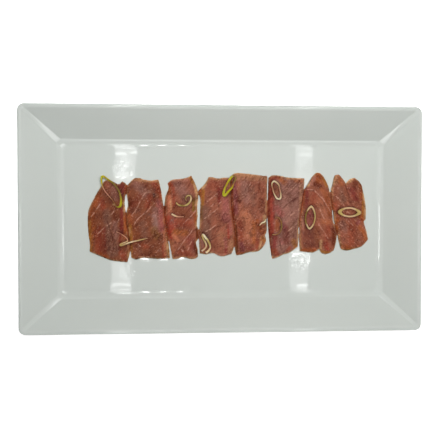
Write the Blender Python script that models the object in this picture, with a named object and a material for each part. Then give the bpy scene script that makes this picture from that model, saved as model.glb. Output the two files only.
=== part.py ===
"""Tuna carpaccio: eight thin slices of tuna side by side on a rectangular porcelain platter,
with rings and strips of spring onion scattered over them.

X runs along the platter, Y across it towards its far side, and Z up. The origin is the middle
of the foot ring's underside. Lengths below are in millimetres, and MM turns them into metres.
"""

import math

import bmesh
import bpy
from mathutils import Vector, noise
from mathutils.bvhtree import BVHTree

MM = 0.001
CLEARANCE = 0.3

# ---- the platter: a flat floor, a narrow facet round it, four sloping walls and a rounded lip
PLATTER_LENGTH = 355.0
PLATTER_WIDTH = 200.0
PLATTER_HEIGHT = 27.0
FLOOR_LENGTH = 289.0
FLOOR_WIDTH = 135.0
FLOOR_THICKNESS = 4.5
FACET_RUN = 4.5
FACET_RISE = 1.5
LIP_WIDTH = 4.0
LIP_ROUNDING = 1.0
LIP_DEPTH = 3.0
WALL_CLEARANCE = 0.6
FOOT_HEIGHT = 2.5
FOOT_WIDTH = 5.0
FOOT_DRAFT = 1.0
FLOOR_TOP = FOOT_HEIGHT + FLOOR_THICKNESS

# ---- its corners: how far each is cut back, and how round the cut is, from 0 (flat) to 1 (an arc)
FLOOR_CORNER = (3.0, 0.3)
MITRE_FOOT = (4.2, 0.3)
MITRE_HEAD = (1.8, 0.5)
LIP_CORNER = (3.2, 0.9)
RIM_CORNER = (6.0, 1.0)
FOOT_CORNER = (8.0, 1.0)
CORNER_STEPS = 4

# ---- the slices: each side is listed from its own corner to the next one's, clockwise seen
# from above, starting at the head's left corner. The head is the end on the platter's far side.
SLICES = {
    "tuna_slice_1": {
        "head": [(-108.0, 32.0), (-104.5, 35.2), (-96.5, 32.6), (-93.4, 30.4), (-90.6, 34.0)],
        "right": [(-86.3, 30.5), (-87.6, 24.0), (-88.9, 14.0), (-87.6, 5.0), (-87.7, -3.0),
                  (-85.2, -14.0), (-84.0, -28.0)],
        "foot": [(-86.4, -39.0), (-101.0, -37.0), (-111.0, -32.8)],
        "left": [(-120.0, -29.2), (-119.6, -23.0), (-121.2, -8.0), (-120.8, 7.0), (-115.5, 19.0)],
        "thickness": 3.4, "left_bevel": 4.5, "right_bevel": 1.6,
    },
    "tuna_slice_2": {
        "head": [(-85.6, 30.5), (-82.0, 35.0), (-77.5, 37.3), (-72.5, 36.0), (-66.0, 34.6)],
        "right": [(-58.2, 35.6), (-56.0, 26.0), (-54.6, 16.5), (-53.4, 9.5), (-52.8, 0.0),
                  (-51.3, -11.0), (-49.2, -23.0)],
        "foot": [(-48.2, -35.4), (-57.5, -36.0), (-73.5, -34.8), (-77.5, -36.8)],
        "left": [(-82.6, -34.6), (-83.2, -28.0), (-84.6, -14.0), (-87.1, -3.0), (-87.0, 5.0),
                 (-85.2, 14.0), (-87.0, 24.0)],
        "thickness": 3.5, "left_bevel": 1.8, "right_bevel": 3.6,
    },
    "tuna_slice_3": {
        "head": [(-49.8, 32.6), (-45.5, 35.4), (-38.0, 36.2), (-31.6, 37.6)],
        "right": [(-28.8, 39.6), (-24.4, 30.5), (-22.3, 21.5), (-23.2, 11.5), (-23.0, 2.0),
                  (-23.9, -4.5), (-22.0, -11.0), (-22.2, -17.5), (-24.6, -21.4), (-23.0, -27.5)],
        "foot": [(-22.6, -34.6), (-28.0, -36.4), (-36.8, -34.2), (-39.2, -35.6)],
        "left": [(-45.4, -36.4), (-47.9, -23.0), (-50.6, -11.0), (-52.1, 0.0), (-52.8, 9.5),
                 (-51.8, 20.0), (-49.0, 27.5)],
        "thickness": 3.2, "left_bevel": 3.4, "right_bevel": 2.2,
    },
    "tuna_slice_4": {
        "head": [(-17.0, 30.0), (-14.2, 34.0), (-11.9, 38.3), (-4.5, 36.6), (0.5, 37.4)],
        "right": [(6.9, 37.4), (7.0, 24.0), (7.5, 14.5), (8.0, 5.5), (9.6, -4.0), (10.6, -14.0),
                  (10.6, -24.0)],
        "foot": [(8.0, -31.8), (-1.0, -34.0), (-9.5, -30.6), (-15.0, -32.2)],
        "left": [(-20.8, -31.0), (-21.4, -17.5), (-21.4, -11.0), (-20.7, -4.5), (-20.6, 2.0),
                 (-20.2, 11.5), (-20.2, 18.5), (-21.7, 22.5), (-21.7, 26.0)],
        "thickness": 3.4, "left_bevel": 2.8, "right_bevel": 1.8,
    },
    "tuna_slice_5": {
        "head": [(7.7, 38.6), (11.0, 41.5), (18.5, 41.5), (30.0, 40.2)],
        "right": [(40.9, 39.0), (40.5, 27.0), (40.4, 10.0), (40.3, -6.0), (40.2, -11.5),
                  (38.4, -15.4), (40.0, -18.4)],
        "foot": [(38.6, -23.0), (33.0, -29.3), (24.0, -30.2), (17.5, -32.4)],
        "left": [(12.4, -33.0), (11.2, -24.0), (11.2, -14.0), (10.2, -4.0), (8.6, 5.5), (8.1, 14.5),
                 (7.6, 24.0)],
        "thickness": 3.6, "left_bevel": 2.4, "right_bevel": 1.5,
    },
    "tuna_slice_6": {
        "head": [(42.2, 37.6), (45.5, 39.8), (51.0, 39.8), (60.0, 37.8)],
        "right": [(75.3, 37.0), (74.4, 26.0), (72.9, 17.0), (71.5, 8.0), (70.4, 0.0), (69.7, -9.0),
                  (69.5, -18.0)],
        "foot": [(69.2, -25.4), (61.5, -30.8), (56.5, -32.2), (51.5, -34.6)],
        "left": [(45.6, -36.6), (44.0, -26.5), (42.2, -12.0), (41.4, 2.5), (41.5, 15.0),
                 (41.9, 28.0)],
        "thickness": 3.7, "left_bevel": 5.6, "right_bevel": 1.6,
    },
    "tuna_slice_7": {
        "head": [(79.0, 32.0), (82.4, 38.4), (87.6, 42.8), (92.6, 39.0)],
        "right": [(96.6, 31.2), (98.9, 24.0), (100.6, 14.0), (101.2, 4.0), (102.0, -3.0),
                  (104.2, -8.0), (105.4, -14.0), (104.6, -22.0)],
        "foot": [(102.4, -29.4), (95.5, -32.6), (90.7, -31.0), (88.6, -26.2), (86.2, -30.4),
                 (79.5, -30.7)],
        "left": [(71.4, -29.6), (70.6, -18.0), (70.9, -9.0), (71.1, 0.0), (72.0, 8.0), (73.4, 17.0),
                 (75.0, 26.0)],
        "thickness": 3.4, "left_bevel": 2.6, "right_bevel": 2.0,
    },
    "tuna_slice_8": {
        "head": [(101.6, 31.0), (103.0, 38.2), (105.6, 41.8), (110.0, 38.0), (113.2, 32.4),
                 (116.6, 35.6), (119.6, 38.0), (124.0, 36.4)],
        "right": [(128.4, 31.4), (130.8, 21.5), (132.6, 10.0), (132.3, -1.0), (130.6, -2.6),
                  (132.6, -9.0)],
        "foot": [(135.0, -19.0), (128.5, -25.6), (121.0, -27.8), (114.5, -29.3)],
        "left": [(109.4, -27.6), (107.3, -20.0), (106.2, -13.5), (104.9, -8.0), (103.2, -2.0),
                 (102.6, 4.0), (101.3, 14.0), (99.8, 24.0)],
        "thickness": 3.3, "left_bevel": 2.0, "right_bevel": 3.6,
    },
}
END_BEVEL = 1.6
EDGE_THICKNESS = 1.0
WAVE_HEIGHT = 0.35
WAVE_LENGTH = 15.0
COLUMNS = 11
ROWS = 24
EDGE_CROWDING = 0.72

# ---- folds that run into a slice from a notch in its outline: start, end, half width and depth
FOLDS = {
    "tuna_slice_3": [((-24.6, -21.4), (-34.0, -35.0), 1.8, 0.9)],
    "tuna_slice_7": [((88.6, -26.0), (86.6, -14.0), 1.8, 0.9)],
    "tuna_slice_8": [((113.2, 32.4), (117.6, 10.0), 2.0, 1.1)],
}

# ---- the spring onion: oblique rings cut across the stem, bent loops, and strips
OVAL_RINGS = {
    "onion_ring_2": {"middle": (5.7, 29.4), "length": 20.6, "width": 7.6, "turn": 66.0,
                     "wall": 1.5, "end_wall": 2.6, "height": 1.6},
    "onion_ring_4": {"middle": (79.9, 1.2), "length": 22.6, "width": 10.2, "turn": 86.0,
                     "wall": 1.5, "end_wall": 2.4, "height": 1.6},
    "onion_ring_5": {"middle": (116.0, 6.1), "length": 21.8, "width": 9.4, "turn": -2.0,
                     "wall": 1.7, "end_wall": 3.4, "height": 1.6},
}
BENT_RINGS = {
    "onion_ring_1": {"route": [(-107.6, 38.4), (-102.6, 35.4), (-97.4, 31.4), (-93.0, 24.8),
                               (-91.3, 18.0), (-91.8, 11.4), (-96.4, 10.6), (-98.6, 16.4),
                               (-102.4, 21.0), (-106.6, 27.0), (-108.6, 34.0)],
                     "wall": 1.5, "height": 1.5},
    "onion_ring_3": {"route": [(46.6, 34.2), (44.4, 31.6), (45.4, 27.0), (46.7, 22.6), (49.4, 18.6),
                               (52.4, 18.6), (53.0, 22.6), (52.0, 27.4), (50.8, 31.4)],
                     "wall": 1.4, "height": 1.6},
}
STRIPS = {
    "onion_strip_1": {"route": [(-95.8, -10.8), (-90.0, -12.8), (-86.4, -16.0), (-85.6, -18.6),
                                (-88.8, -20.4), (-92.4, -21.8), (-92.0, -23.5), (-88.0, -23.1),
                                (-83.0, -21.5), (-76.0, -19.4), (-68.2, -17.0)],
                      "wall": 1.1, "height": 1.1, "ends": (0.45, 0.5)},
    "onion_strip_2": {"route": [(-46.2, 4.6), (-43.0, 2.9), (-39.4, 2.1), (-35.4, 2.2)],
                      "wall": 1.5, "height": 1.0, "ends": (0.8, 0.4)},
    "onion_strip_3": {"route": [(-19.0, -28.8), (-16.6, -27.4), (-14.6, -24.4), (-15.6, -20.4),
                                (-18.0, -16.0), (-18.3, -13.6), (-16.6, -13.6), (-13.8, -17.0),
                                (-12.0, -21.0), (-11.6, -25.0), (-13.6, -29.4)],
                      "wall": 1.6, "height": 1.5, "ends": (0.9, 1.0)},
    "onion_strip_4": {"route": [(33.4, -5.8), (35.6, -3.6), (38.0, -2.6), (39.4, -0.4)],
                      "wall": 1.1, "height": 1.0, "ends": (0.5, 0.8)},
    "onion_hook_1": {"route": [(-42.0, 14.8), (-40.0, 12.8), (-36.6, 12.1), (-33.2, 12.6),
                               (-30.4, 14.6), (-28.8, 17.8), (-29.4, 20.8), (-31.8, 21.0),
                               (-33.6, 18.8), (-33.0, 16.2)],
                     "wall": 1.3, "height": 1.3, "ends": (0.6, 0.5)},
    "onion_hook_2": {"route": [(47.6, 1.6), (50.6, 1.4), (53.0, -2.0), (53.5, -7.0), (52.2, -12.0),
                               (48.6, -14.2), (45.2, -14.2)],
                     "wall": 1.0, "height": 0.9, "ends": (0.5, 0.6)},
}
RING_STEPS = 26
STRIP_STEP = 1.9
TAPER_SHARE = 0.25
SECTION_ROUNDING = 0.3
SAG_PASSES = 14
DRAPE_SLACK = 0.1


# ---------------------------------------------------------------- helpers

def material(name, colour, roughness):
    made = bpy.data.materials.new(name)
    made.use_nodes = True
    shader = made.node_tree.nodes["Principled BSDF"]
    shader.inputs["Base Color"].default_value = (*colour, 1.0)
    shader.inputs["Roughness"].default_value = roughness
    shader.inputs["Metallic"].default_value = 0.0
    return made


def clear_scene():
    for obj in list(bpy.data.objects):
        bpy.data.objects.remove(obj, do_unlink=True)


def collection(name):
    made = bpy.data.collections.new(name)
    bpy.context.scene.collection.children.link(made)
    return made


def add_object(name, data, finish, home):
    obj = bpy.data.objects.new(name, data)
    data.materials.append(finish)
    home.objects.link(obj)
    return obj


def curve_through(points, closed=False, steps=12):
    """A smooth line through plane points: a Catmull-Rom spline sampled evenly between them."""
    knots = [Vector(p) for p in points]
    count = len(knots)
    line = []
    for i in range(count if closed else count - 1):
        if closed:
            a, b, c, d = (knots[(i + k) % count] for k in (-1, 0, 1, 2))
        else:
            b, c = knots[i], knots[i + 1]
            a = knots[i - 1] if i else 2 * b - c
            d = knots[i + 2] if i + 2 < count else 2 * c - b
        for step in range(steps):
            t = step / steps
            line.append(0.5 * (2 * b + (c - a) * t + (2 * a - 5 * b + 4 * c - d) * t * t
                               + (3 * b - a - 3 * c + d) * t ** 3))
    line.append(line[0].copy() if closed else knots[-1])
    return line


def at_shares(line, shares):
    """Points on a line at these shares of its length."""
    run = [0.0]
    for a, b in zip(line, line[1:]):
        run.append(run[-1] + (b - a).length)
    found = []
    for share in shares:
        wanted = share * run[-1]
        i = max(k for k in range(len(run) - 1) if run[k] <= wanted + 1e-9)
        t = (wanted - run[i]) / max(run[i + 1] - run[i], 1e-9)
        found.append(line[i].lerp(line[i + 1], t))
    return found


def smooth_step(x):
    x = min(1.0, max(0.0, x))
    return x * x * (3 - 2 * x)


def finish_mesh(name, bm, sharp_above, finish, home):
    """A mesh object with its faces turned outwards, smooth but for the creases above an angle."""
    bmesh.ops.recalc_face_normals(bm, faces=bm.faces)
    mesh = bpy.data.meshes.new(name)
    bm.to_mesh(mesh)
    bm.free()
    mesh.shade_smooth()
    mesh.set_sharp_from_angle(angle=math.radians(sharp_above))
    return add_object(name, mesh, finish, home)


# ---------------------------------------------------------------- the platter

def corner_loop(half_sizes, corner):
    """A rectangle's outline with its corners cut at 45 degrees, and each cut bulged by its
    roundness."""
    cut, roundness = corner
    points = []
    for quarter, (sx, sy) in enumerate(((1, 1), (-1, 1), (-1, -1), (1, -1))):
        middle = Vector((sx * (half_sizes[0] - cut), sy * (half_sizes[1] - cut)))
        first, last = (Vector((math.cos(turn), math.sin(turn)))
                       for turn in (quarter * math.pi / 2, (quarter + 1) * math.pi / 2))
        for step in range(CORNER_STEPS):
            chord = first.lerp(last, step / (CORNER_STEPS - 1))
            points.append(middle + cut * chord.lerp(chord.normalized(), roundness))
    return points


def rim(inset):
    """Half sizes of a loop this far inside the platter's outer edge."""
    return PLATTER_LENGTH / 2 - inset, PLATTER_WIDTH / 2 - inset


def base(outset):
    """Half sizes of a loop this far outside the flat floor's edge."""
    return FLOOR_LENGTH / 2 + outset, FLOOR_WIDTH / 2 + outset


def platter_stations():
    """Half sizes, height and corner, from the floor out over the lip and back under to the foot."""
    return [
        (base(0.0), FLOOR_TOP, FLOOR_CORNER),
        (base(FACET_RUN), FLOOR_TOP + FACET_RISE, MITRE_FOOT),
        (rim(LIP_WIDTH), PLATTER_HEIGHT - LIP_ROUNDING / 2, MITRE_HEAD),
        (rim(LIP_WIDTH - LIP_ROUNDING), PLATTER_HEIGHT, LIP_CORNER),
        (rim(LIP_ROUNDING), PLATTER_HEIGHT, RIM_CORNER),
        (rim(0.0), PLATTER_HEIGHT - LIP_ROUNDING, RIM_CORNER),
        (rim(0.0), PLATTER_HEIGHT - LIP_DEPTH, RIM_CORNER),
        (base(FACET_RUN), FOOT_HEIGHT + WALL_CLEARANCE, FOOT_CORNER),
        (base(0.0), FOOT_HEIGHT, FOOT_CORNER),
        (base(-FOOT_DRAFT), 0.0, FOOT_CORNER),
        (base(-FOOT_DRAFT - FOOT_WIDTH), 0.0, RIM_CORNER),
        (base(-2 * FOOT_DRAFT - FOOT_WIDTH), FOOT_HEIGHT, RIM_CORNER),
    ]


def make_platter(finish, home):
    """Loops of the platter's profile, bridged one to the next and closed by the floor's two faces."""
    bm = bmesh.new()
    loops = []
    for half_sizes, height, corner in platter_stations():
        verts = [bm.verts.new(Vector((*p, height)) * MM) for p in corner_loop(half_sizes, corner)]
        loops.append([bm.edges.new(ends) for ends in zip(verts, verts[1:] + verts[:1])])
    for loop, following in zip(loops, loops[1:]):
        bmesh.ops.bridge_loops(bm, edges=loop + following)
    for loop in (loops[0], loops[-1]):
        bmesh.ops.contextual_create(bm, geom=loop)
    return finish_mesh("platter", bm, 25, finish, home)


# ---------------------------------------------------------------- the tuna

def crowded(count):
    """Shares from 0 to 1 that lie closer together near both ends."""
    return [
        (1 - EDGE_CROWDING) * i / count + EDGE_CROWDING * smooth_step(i / count)
        for i in range(count + 1)
    ]


def slice_sides(form, columns, rows):
    """The outline as four sampled sides: head and foot run left to right, the others head to foot."""
    head = curve_through([*form["head"], form["right"][0]])
    right = curve_through([*form["right"], form["foot"][0]])
    foot = curve_through([*form["foot"], form["left"][0]])
    left = curve_through([*form["left"], form["head"][0]])
    return (at_shares(head, columns), at_shares(right, rows),
            at_shares(foot[::-1], columns), at_shares(left[::-1], rows))


def coons_point(sides, i, j, u, v):
    """A point inside four edge curves, blended from all of them."""
    head, right, foot, left = sides
    across = left[j].lerp(right[j], u)
    along = head[i].lerp(foot[i], v)
    corners = head[0].lerp(head[-1], u).lerp(foot[0].lerp(foot[-1], u), v)
    return across + along - corners


def fold_depth(name, point):
    depth = 0.0
    for start, end, half_width, deepest in FOLDS.get(name, []):
        start, end = Vector(start), Vector(end)
        share = min(1.0, max(0.0, (point - start).dot(end - start) / (end - start).length_squared))
        away = (point - start.lerp(end, share)).length
        depth = max(depth, deepest * (1 - share) * (1 - smooth_step(away / half_width)))
    return depth


def shoulder(x):
    """A rise from 0 to 1 that is steep at first and level at the end."""
    return 1 - (1 - min(1.0, x)) ** 2


def slice_height(name, form, point, distances):
    """How thick the slice is: thin at its outline, full inside its bevels, with a slow wave."""
    bevels = (form["left_bevel"], form["right_bevel"], END_BEVEL, END_BEVEL)
    rise = math.prod(shoulder(distance / bevel) for distance, bevel in zip(distances, bevels))
    seat = Vector((point.x / WAVE_LENGTH, point.y / WAVE_LENGTH, form["thickness"]))
    full = form["thickness"] + WAVE_HEIGHT * noise.noise(seat) - fold_depth(name, point)
    return EDGE_THICKNESS + rise * (full - EDGE_THICKNESS)


def make_slice(name, form, finish, home):
    """A grid fitted between the four edge curves and lifted, its border drawn down and closed."""
    columns, rows = crowded(COLUMNS), crowded(ROWS)
    sides = slice_sides(form, columns, rows)
    bm = bmesh.new()
    bmesh.ops.create_grid(bm, x_segments=COLUMNS, y_segments=ROWS, size=0.5)
    underside = FLOOR_TOP + CLEARANCE
    for vert in bm.verts:
        i = round((vert.co.x + 0.5) * COLUMNS)
        j = round((0.5 - vert.co.y) * ROWS)
        u, v = columns[i], rows[j]
        point = coons_point(sides, i, j, u, v)
        width = (sides[1][j] - sides[3][j]).length
        length = (sides[2][i] - sides[0][i]).length
        distances = (u * width, (1 - u) * width, v * length, (1 - v) * length)
        height = slice_height(name, form, point, distances)
        vert.co = Vector((point.x, point.y, underside + height)) * MM
    border = [edge for edge in bm.edges if edge.is_boundary]
    made = bmesh.ops.extrude_edge_only(bm, edges=border)["geom"]
    for vert in (g for g in made if isinstance(g, bmesh.types.BMVert)):
        vert.co.z = underside * MM
    bmesh.ops.contextual_create(bm, geom=[g for g in made if isinstance(g, bmesh.types.BMEdge)])
    return finish_mesh(name, bm, 50, finish, home)


# ---------------------------------------------------------------- the spring onion

def surfaces_below(objects):
    """Ray-cast trees of the objects that the garnish lies on."""
    graph = bpy.context.evaluated_depsgraph_get()
    return [BVHTree.FromObject(obj, graph) for obj in objects]


def height_at(trees, point):
    """The highest surface under a plane point, in millimetres."""
    above = Vector((point.x, point.y, 2 * PLATTER_HEIGHT)) * MM
    hits = [tree.ray_cast(above, Vector((0, 0, -1)))[0] for tree in trees]
    return max((hit.z / MM for hit in hits if hit), default=FLOOR_TOP)


def draped(line, half_widths, trees, closed):
    """The height of each point's underside, so that the piece rests on what is under it and
    sags a little where nothing is."""
    count = len(line)
    support = []
    for i, point in enumerate(line):
        before = line[(i - 1) % count] if closed or i else point
        after = line[(i + 1) % count] if closed or i + 1 < count else point
        along = (after - before).normalized()
        side = Vector((-along.y, along.x)) * (half_widths[i] + DRAPE_SLACK)
        step = (after - before) / 4
        spots = [point + side * s + step * t for s in (-1, -0.5, 0, 0.5, 1) for t in (-1, 0, 1)]
        support.append(max(height_at(trees, spot) for spot in spots))
    height = list(support)
    for _ in range(SAG_PASSES):
        smoothed = []
        for i in range(count):
            before = height[(i - 1) % count] if closed or i else height[i]
            after = height[(i + 1) % count] if closed or i + 1 < count else height[i]
            smoothed.append(max(support[i], (before + after) / 2))
        height = smoothed
    return [h + CLEARANCE + DRAPE_SLACK for h in height]


def section_curve(name, width, height, home):
    """The cut end of a strip: a rectangle with cut corners."""
    cut = SECTION_ROUNDING
    half_width, half_height = width / 2, height / 2
    corners = [(half_width - cut, half_height), (half_width, half_height - cut),
               (half_width, cut - half_height), (half_width - cut, -half_height),
               (cut - half_width, -half_height), (-half_width, cut - half_height),
               (-half_width, half_height - cut), (cut - half_width, half_height)]
    data = bpy.data.curves.new(f"{name}_section", "CURVE")
    spline = data.splines.new("POLY")
    spline.points.add(len(corners) - 1)
    for point, corner in zip(spline.points, corners):
        point.co = (corner[0] * MM, corner[1] * MM, 0.0, 1.0)
    spline.use_cyclic_u = True
    obj = bpy.data.objects.new(f"{name}_section", data)
    obj.hide_render = True
    obj.display_type = "WIRE"
    home.objects.link(obj)
    return obj


def make_onion(name, form, shape, trees, finish, homes):
    """One strip of onion swept along its line, thicker and thinner by its radii."""
    line, radii, closed = shape(form)
    wall, height = form["wall"], form["height"]
    undersides = draped(line, [wall / 2 * r for r in radii], trees, closed)
    data = bpy.data.curves.new(name, "CURVE")
    data.dimensions = "3D"
    data.twist_mode = "Z_UP"
    spline = data.splines.new("POLY")
    spline.points.add(len(line) - 1)
    for target, point, radius, underside in zip(spline.points, line, radii, undersides):
        target.co = (point.x * MM, point.y * MM, (underside + radius * height / 2) * MM, 1.0)
        target.radius = radius
    spline.use_cyclic_u = closed
    data.bevel_mode = "OBJECT"
    data.bevel_object = section_curve(name, wall, height, homes[1])
    data.use_fill_caps = True
    return add_object(name, data, finish, homes[0])


def oval_ring(form):
    """The middle line of an oblique ring, and how much thicker its wall is towards its two ends."""
    length = (form["length"] - form["end_wall"]) / 2
    width = (form["width"] - form["wall"]) / 2
    turn = math.radians(form["turn"])
    line, radii = [], []
    for step in range(RING_STEPS):
        angle = 2 * math.pi * step / RING_STEPS
        x, y = length * math.cos(angle), width * math.sin(angle)
        line.append(Vector((form["middle"][0] + x * math.cos(turn) - y * math.sin(turn),
                            form["middle"][1] + x * math.sin(turn) + y * math.cos(turn))))
        radii.append(1.0 + (form["end_wall"] / form["wall"] - 1) * abs(math.cos(angle)) ** 4)
    return line, radii, True


def bent_ring(form):
    shares = [step / RING_STEPS for step in range(RING_STEPS)]
    return at_shares(curve_through(form["route"], closed=True), shares), [1.0] * RING_STEPS, True


def strip(form):
    """A strip's line, tapered to both ends."""
    route = curve_through(form["route"])
    length = sum((b - a).length for a, b in zip(route, route[1:]))
    steps = max(5, round(length / STRIP_STEP))
    shares = [step / steps for step in range(steps + 1)]
    start, end = form["ends"]
    radii = [min(start + (1 - start) * smooth_step(share / TAPER_SHARE),
                 end + (1 - end) * smooth_step((1 - share) / TAPER_SHARE)) for share in shares]
    return at_shares(route, shares), radii, False


# ---------------------------------------------------------------- the whole dish

def main():
    clear_scene()
    parts, guides = collection("tuna_carpaccio"), collection("guides")
    porcelain = material("porcelain", (0.62, 0.66, 0.63), 0.12)
    tuna = material("tuna", (0.30, 0.10, 0.07), 0.35)
    onion = material("onion", (0.62, 0.60, 0.24), 0.35)
    make_platter(porcelain, parts)
    slices = [make_slice(name, form, tuna, parts) for name, form in SLICES.items()]
    trees = surfaces_below(slices)
    for forms, shape in ((OVAL_RINGS, oval_ring), (BENT_RINGS, bent_ring), (STRIPS, strip)):
        for name, form in forms.items():
            make_onion(name, form, shape, trees, onion, (parts, guides))


main()
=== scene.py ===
# %% [markdown]
# # Tuna carpaccio on a porcelain platter
#
# Eight thin slices of raw tuna lie side by side on a long rectangular platter, with rings and
# strips of spring onion scattered over them. The solids of the dish come first: they fix where
# each piece lies and how big it is. Everything below dresses those solids. The lesson goes from
# the outside in: view, platter, tuna, spring onion, and then light.

import math
from collections import Counter, defaultdict
from types import SimpleNamespace

import bmesh
import bpy
import numpy as np
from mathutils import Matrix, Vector, noise
from mathutils.kdtree import KDTree


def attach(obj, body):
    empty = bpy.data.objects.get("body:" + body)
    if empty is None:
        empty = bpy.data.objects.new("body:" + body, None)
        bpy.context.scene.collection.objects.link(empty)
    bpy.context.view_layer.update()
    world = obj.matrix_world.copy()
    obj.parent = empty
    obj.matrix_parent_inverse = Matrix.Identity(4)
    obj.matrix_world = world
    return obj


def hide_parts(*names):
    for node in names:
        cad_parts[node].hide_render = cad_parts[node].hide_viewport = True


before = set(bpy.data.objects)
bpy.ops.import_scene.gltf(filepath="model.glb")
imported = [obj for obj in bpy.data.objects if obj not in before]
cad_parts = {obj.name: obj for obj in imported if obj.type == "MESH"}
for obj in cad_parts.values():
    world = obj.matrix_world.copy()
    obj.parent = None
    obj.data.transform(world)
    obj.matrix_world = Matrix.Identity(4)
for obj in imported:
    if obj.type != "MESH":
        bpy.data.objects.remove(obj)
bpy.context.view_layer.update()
MM = 0.001
print("solids:", sorted(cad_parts))


# %% [markdown]
# ## The view
#
# A dish like this is pictured from straight above. The camera hangs about half a metre over the
# food, a little left of the middle and tipped by three degrees, so the left end of the platter
# looks slightly larger than the right one. A Blender camera looks down its own -Z axis, so an
# unturned camera already looks at the table, and only the small tip has to be given.

# %% Camera
CAMERA_PLACE = (-27.6, 6.8, 480.0)
CAMERA_TIP = (-0.935, -3.057, -0.036)
CAMERA_LENS = 42.41

bpy.ops.object.camera_add(location=[v * MM for v in CAMERA_PLACE],
                          rotation=[math.radians(v) for v in CAMERA_TIP])
camera = bpy.context.object
camera.name = "camera_above"
camera.data.lens = CAMERA_LENS
camera.data.clip_start = 0.01
bpy.context.scene.camera = camera
print("camera", CAMERA_LENS, "mm lens,", CAMERA_PLACE[2], "mm above the table")


# %% [markdown]
# ## Small helpers for the modelling
#
# Operators act on whatever is selected, so each step starts by selecting exactly one object.
# A colour is written here as it looks on a screen, from 0 to 255. Blender's shaders add and
# mix light, so they want the same colour as an amount of light, and srgb() converts it.

# %% Helpers: selection, colours and joining a piece to the dish
def only(piece):
    """Make this the one selected and active object."""
    bpy.ops.object.select_all(action="DESELECT")
    piece.select_set(True)
    bpy.context.view_layer.objects.active = piece


def srgb(red, green, blue):
    """A screen colour as amounts of light."""
    shares = np.array((red, green, blue)) / 255
    return np.where(shares <= 0.04045, shares / 12.92, ((shares + 0.055) / 1.055) ** 2.4)


def serve(piece, node, material):
    """Give a finished piece its material and let it stand for a solid."""
    piece.data.materials.clear()
    piece.data.materials.append(material)
    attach(piece, "root")
    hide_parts(node)


def faces_of(piece):
    return len(piece.data.polygons)


print("middle grey on the screen is", round(srgb(128, 128, 128)[0], 3), "of white in light")


# %% [markdown]
# ## Shader nodes in few words
#
# A material is a graph of nodes. A few helpers keep the graphs readable: one adds a node and sets
# its values, one calculates with numbers and other nodes' outputs, one turns a range of values
# into another, and one makes a material whose Principled BSDF already has its fixed numbers.
# A number that is the same all over a surface stays on the shader's own socket, and only what
# changes from place to place is wired in.

# %% Helpers: nodes and materials
def add_node(tree, kind, **values):
    """A shader node. A value's name is a property of the node or one of its input sockets."""
    node = tree.nodes.new(kind)
    for name, value in values.items():
        if hasattr(node, name):
            setattr(node, name, value)
        else:
            node.inputs[name.replace("_", " ").title()].default_value = value
    return node


def new_material(name, **values):
    """A material whose Principled BSDF has these fixed values, and its node tree."""
    made = bpy.data.materials.new(name)
    made.use_nodes = True
    shader = made.node_tree.nodes["Principled BSDF"]
    for socket, value in values.items():
        socket = socket.replace("_", " ").title().replace("Ior", "IOR")
        shader.inputs[socket].default_value = value
    return made, made.node_tree, shader


def link(tree, source, target):
    tree.links.new(source, target)


def calculate(tree, operation, *values):
    """The result of a Math node. Each value is a number or another node's output."""
    node = add_node(tree, "ShaderNodeMath", operation=operation)
    for socket, value in zip(node.inputs, values):
        if isinstance(value, float):
            socket.default_value = value
        else:
            link(tree, value, socket)
    return node.outputs[0]


def add_ramp(tree, value, low, high, at_low, at_high, **values):
    """A value that runs from at_low to at_high while another runs from low to high."""
    node = add_node(tree, "ShaderNodeMapRange", from_min=low, from_max=high,
                    to_min=at_low, to_max=at_high, **values)
    link(tree, value, node.inputs["Value"])
    return node.outputs[0]


print("node helpers:", [tool.__name__ for tool in (add_node, new_material, calculate, add_ramp)])


# %% [markdown]
# ## A shared effect: fine speckle
#
# Glaze, flesh and onion skin all vary a little from millimetre to millimetre. One node group
# gives that variation to each of them: noise in Object coordinates, squeezed into a small range
# round 1, by which a colour is multiplied. It is built once, and every material sets its own
# size, strength and detail, which is how much finer noise is laid over the coarse one.

# %% Node group: speckle
def build_speckle():
    group = bpy.data.node_groups.new("speckle", "ShaderNodeTree")
    for name, kind in (("Place", "NodeSocketVector"), ("Scale", "NodeSocketFloat"),
                       ("Strength", "NodeSocketFloat"), ("Detail", "NodeSocketFloat")):
        group.interface.new_socket(name, in_out="INPUT", socket_type=kind)
    for name in ("Factor", "Noise"):
        group.interface.new_socket(name, in_out="OUTPUT", socket_type="NodeSocketFloat")
    start, end = group.nodes.new("NodeGroupInput"), group.nodes.new("NodeGroupOutput")
    grain = add_node(group, "ShaderNodeTexNoise", roughness=0.6)
    link(group, start.outputs["Place"], grain.inputs["Vector"])
    link(group, start.outputs["Scale"], grain.inputs["Scale"])
    link(group, start.outputs["Detail"], grain.inputs["Detail"])
    centred = calculate(group, "SUBTRACT", grain.outputs["Fac"], 0.5)
    factor = calculate(group, "MULTIPLY_ADD", centred, start.outputs["Strength"], 1.0)
    link(group, factor, end.inputs["Factor"])
    link(group, grain.outputs["Fac"], end.inputs["Noise"])
    return group


SPECKLE = build_speckle()
print(SPECKLE.name, "group:", len(SPECKLE.nodes), "nodes")


# %% [markdown]
# Three more helpers put such variation to use. One places the group in a material, one makes a
# colour lighter and darker by it, and one turns it into small relief. The relief is a Bump node,
# which only tilts the light: that is enough for what is finer than a tenth of a millimetre.

# %% Helpers: speckle, tint and bump
def add_speckle(tree, place, scale, strength, detail=3.0):
    """The speckle group in a material, fed with a place."""
    node = tree.nodes.new("ShaderNodeGroup")
    node.node_tree = SPECKLE
    node.inputs["Scale"].default_value = scale
    node.inputs["Strength"].default_value = strength
    node.inputs["Detail"].default_value = detail
    link(tree, place, node.inputs["Place"])
    return node


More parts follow.
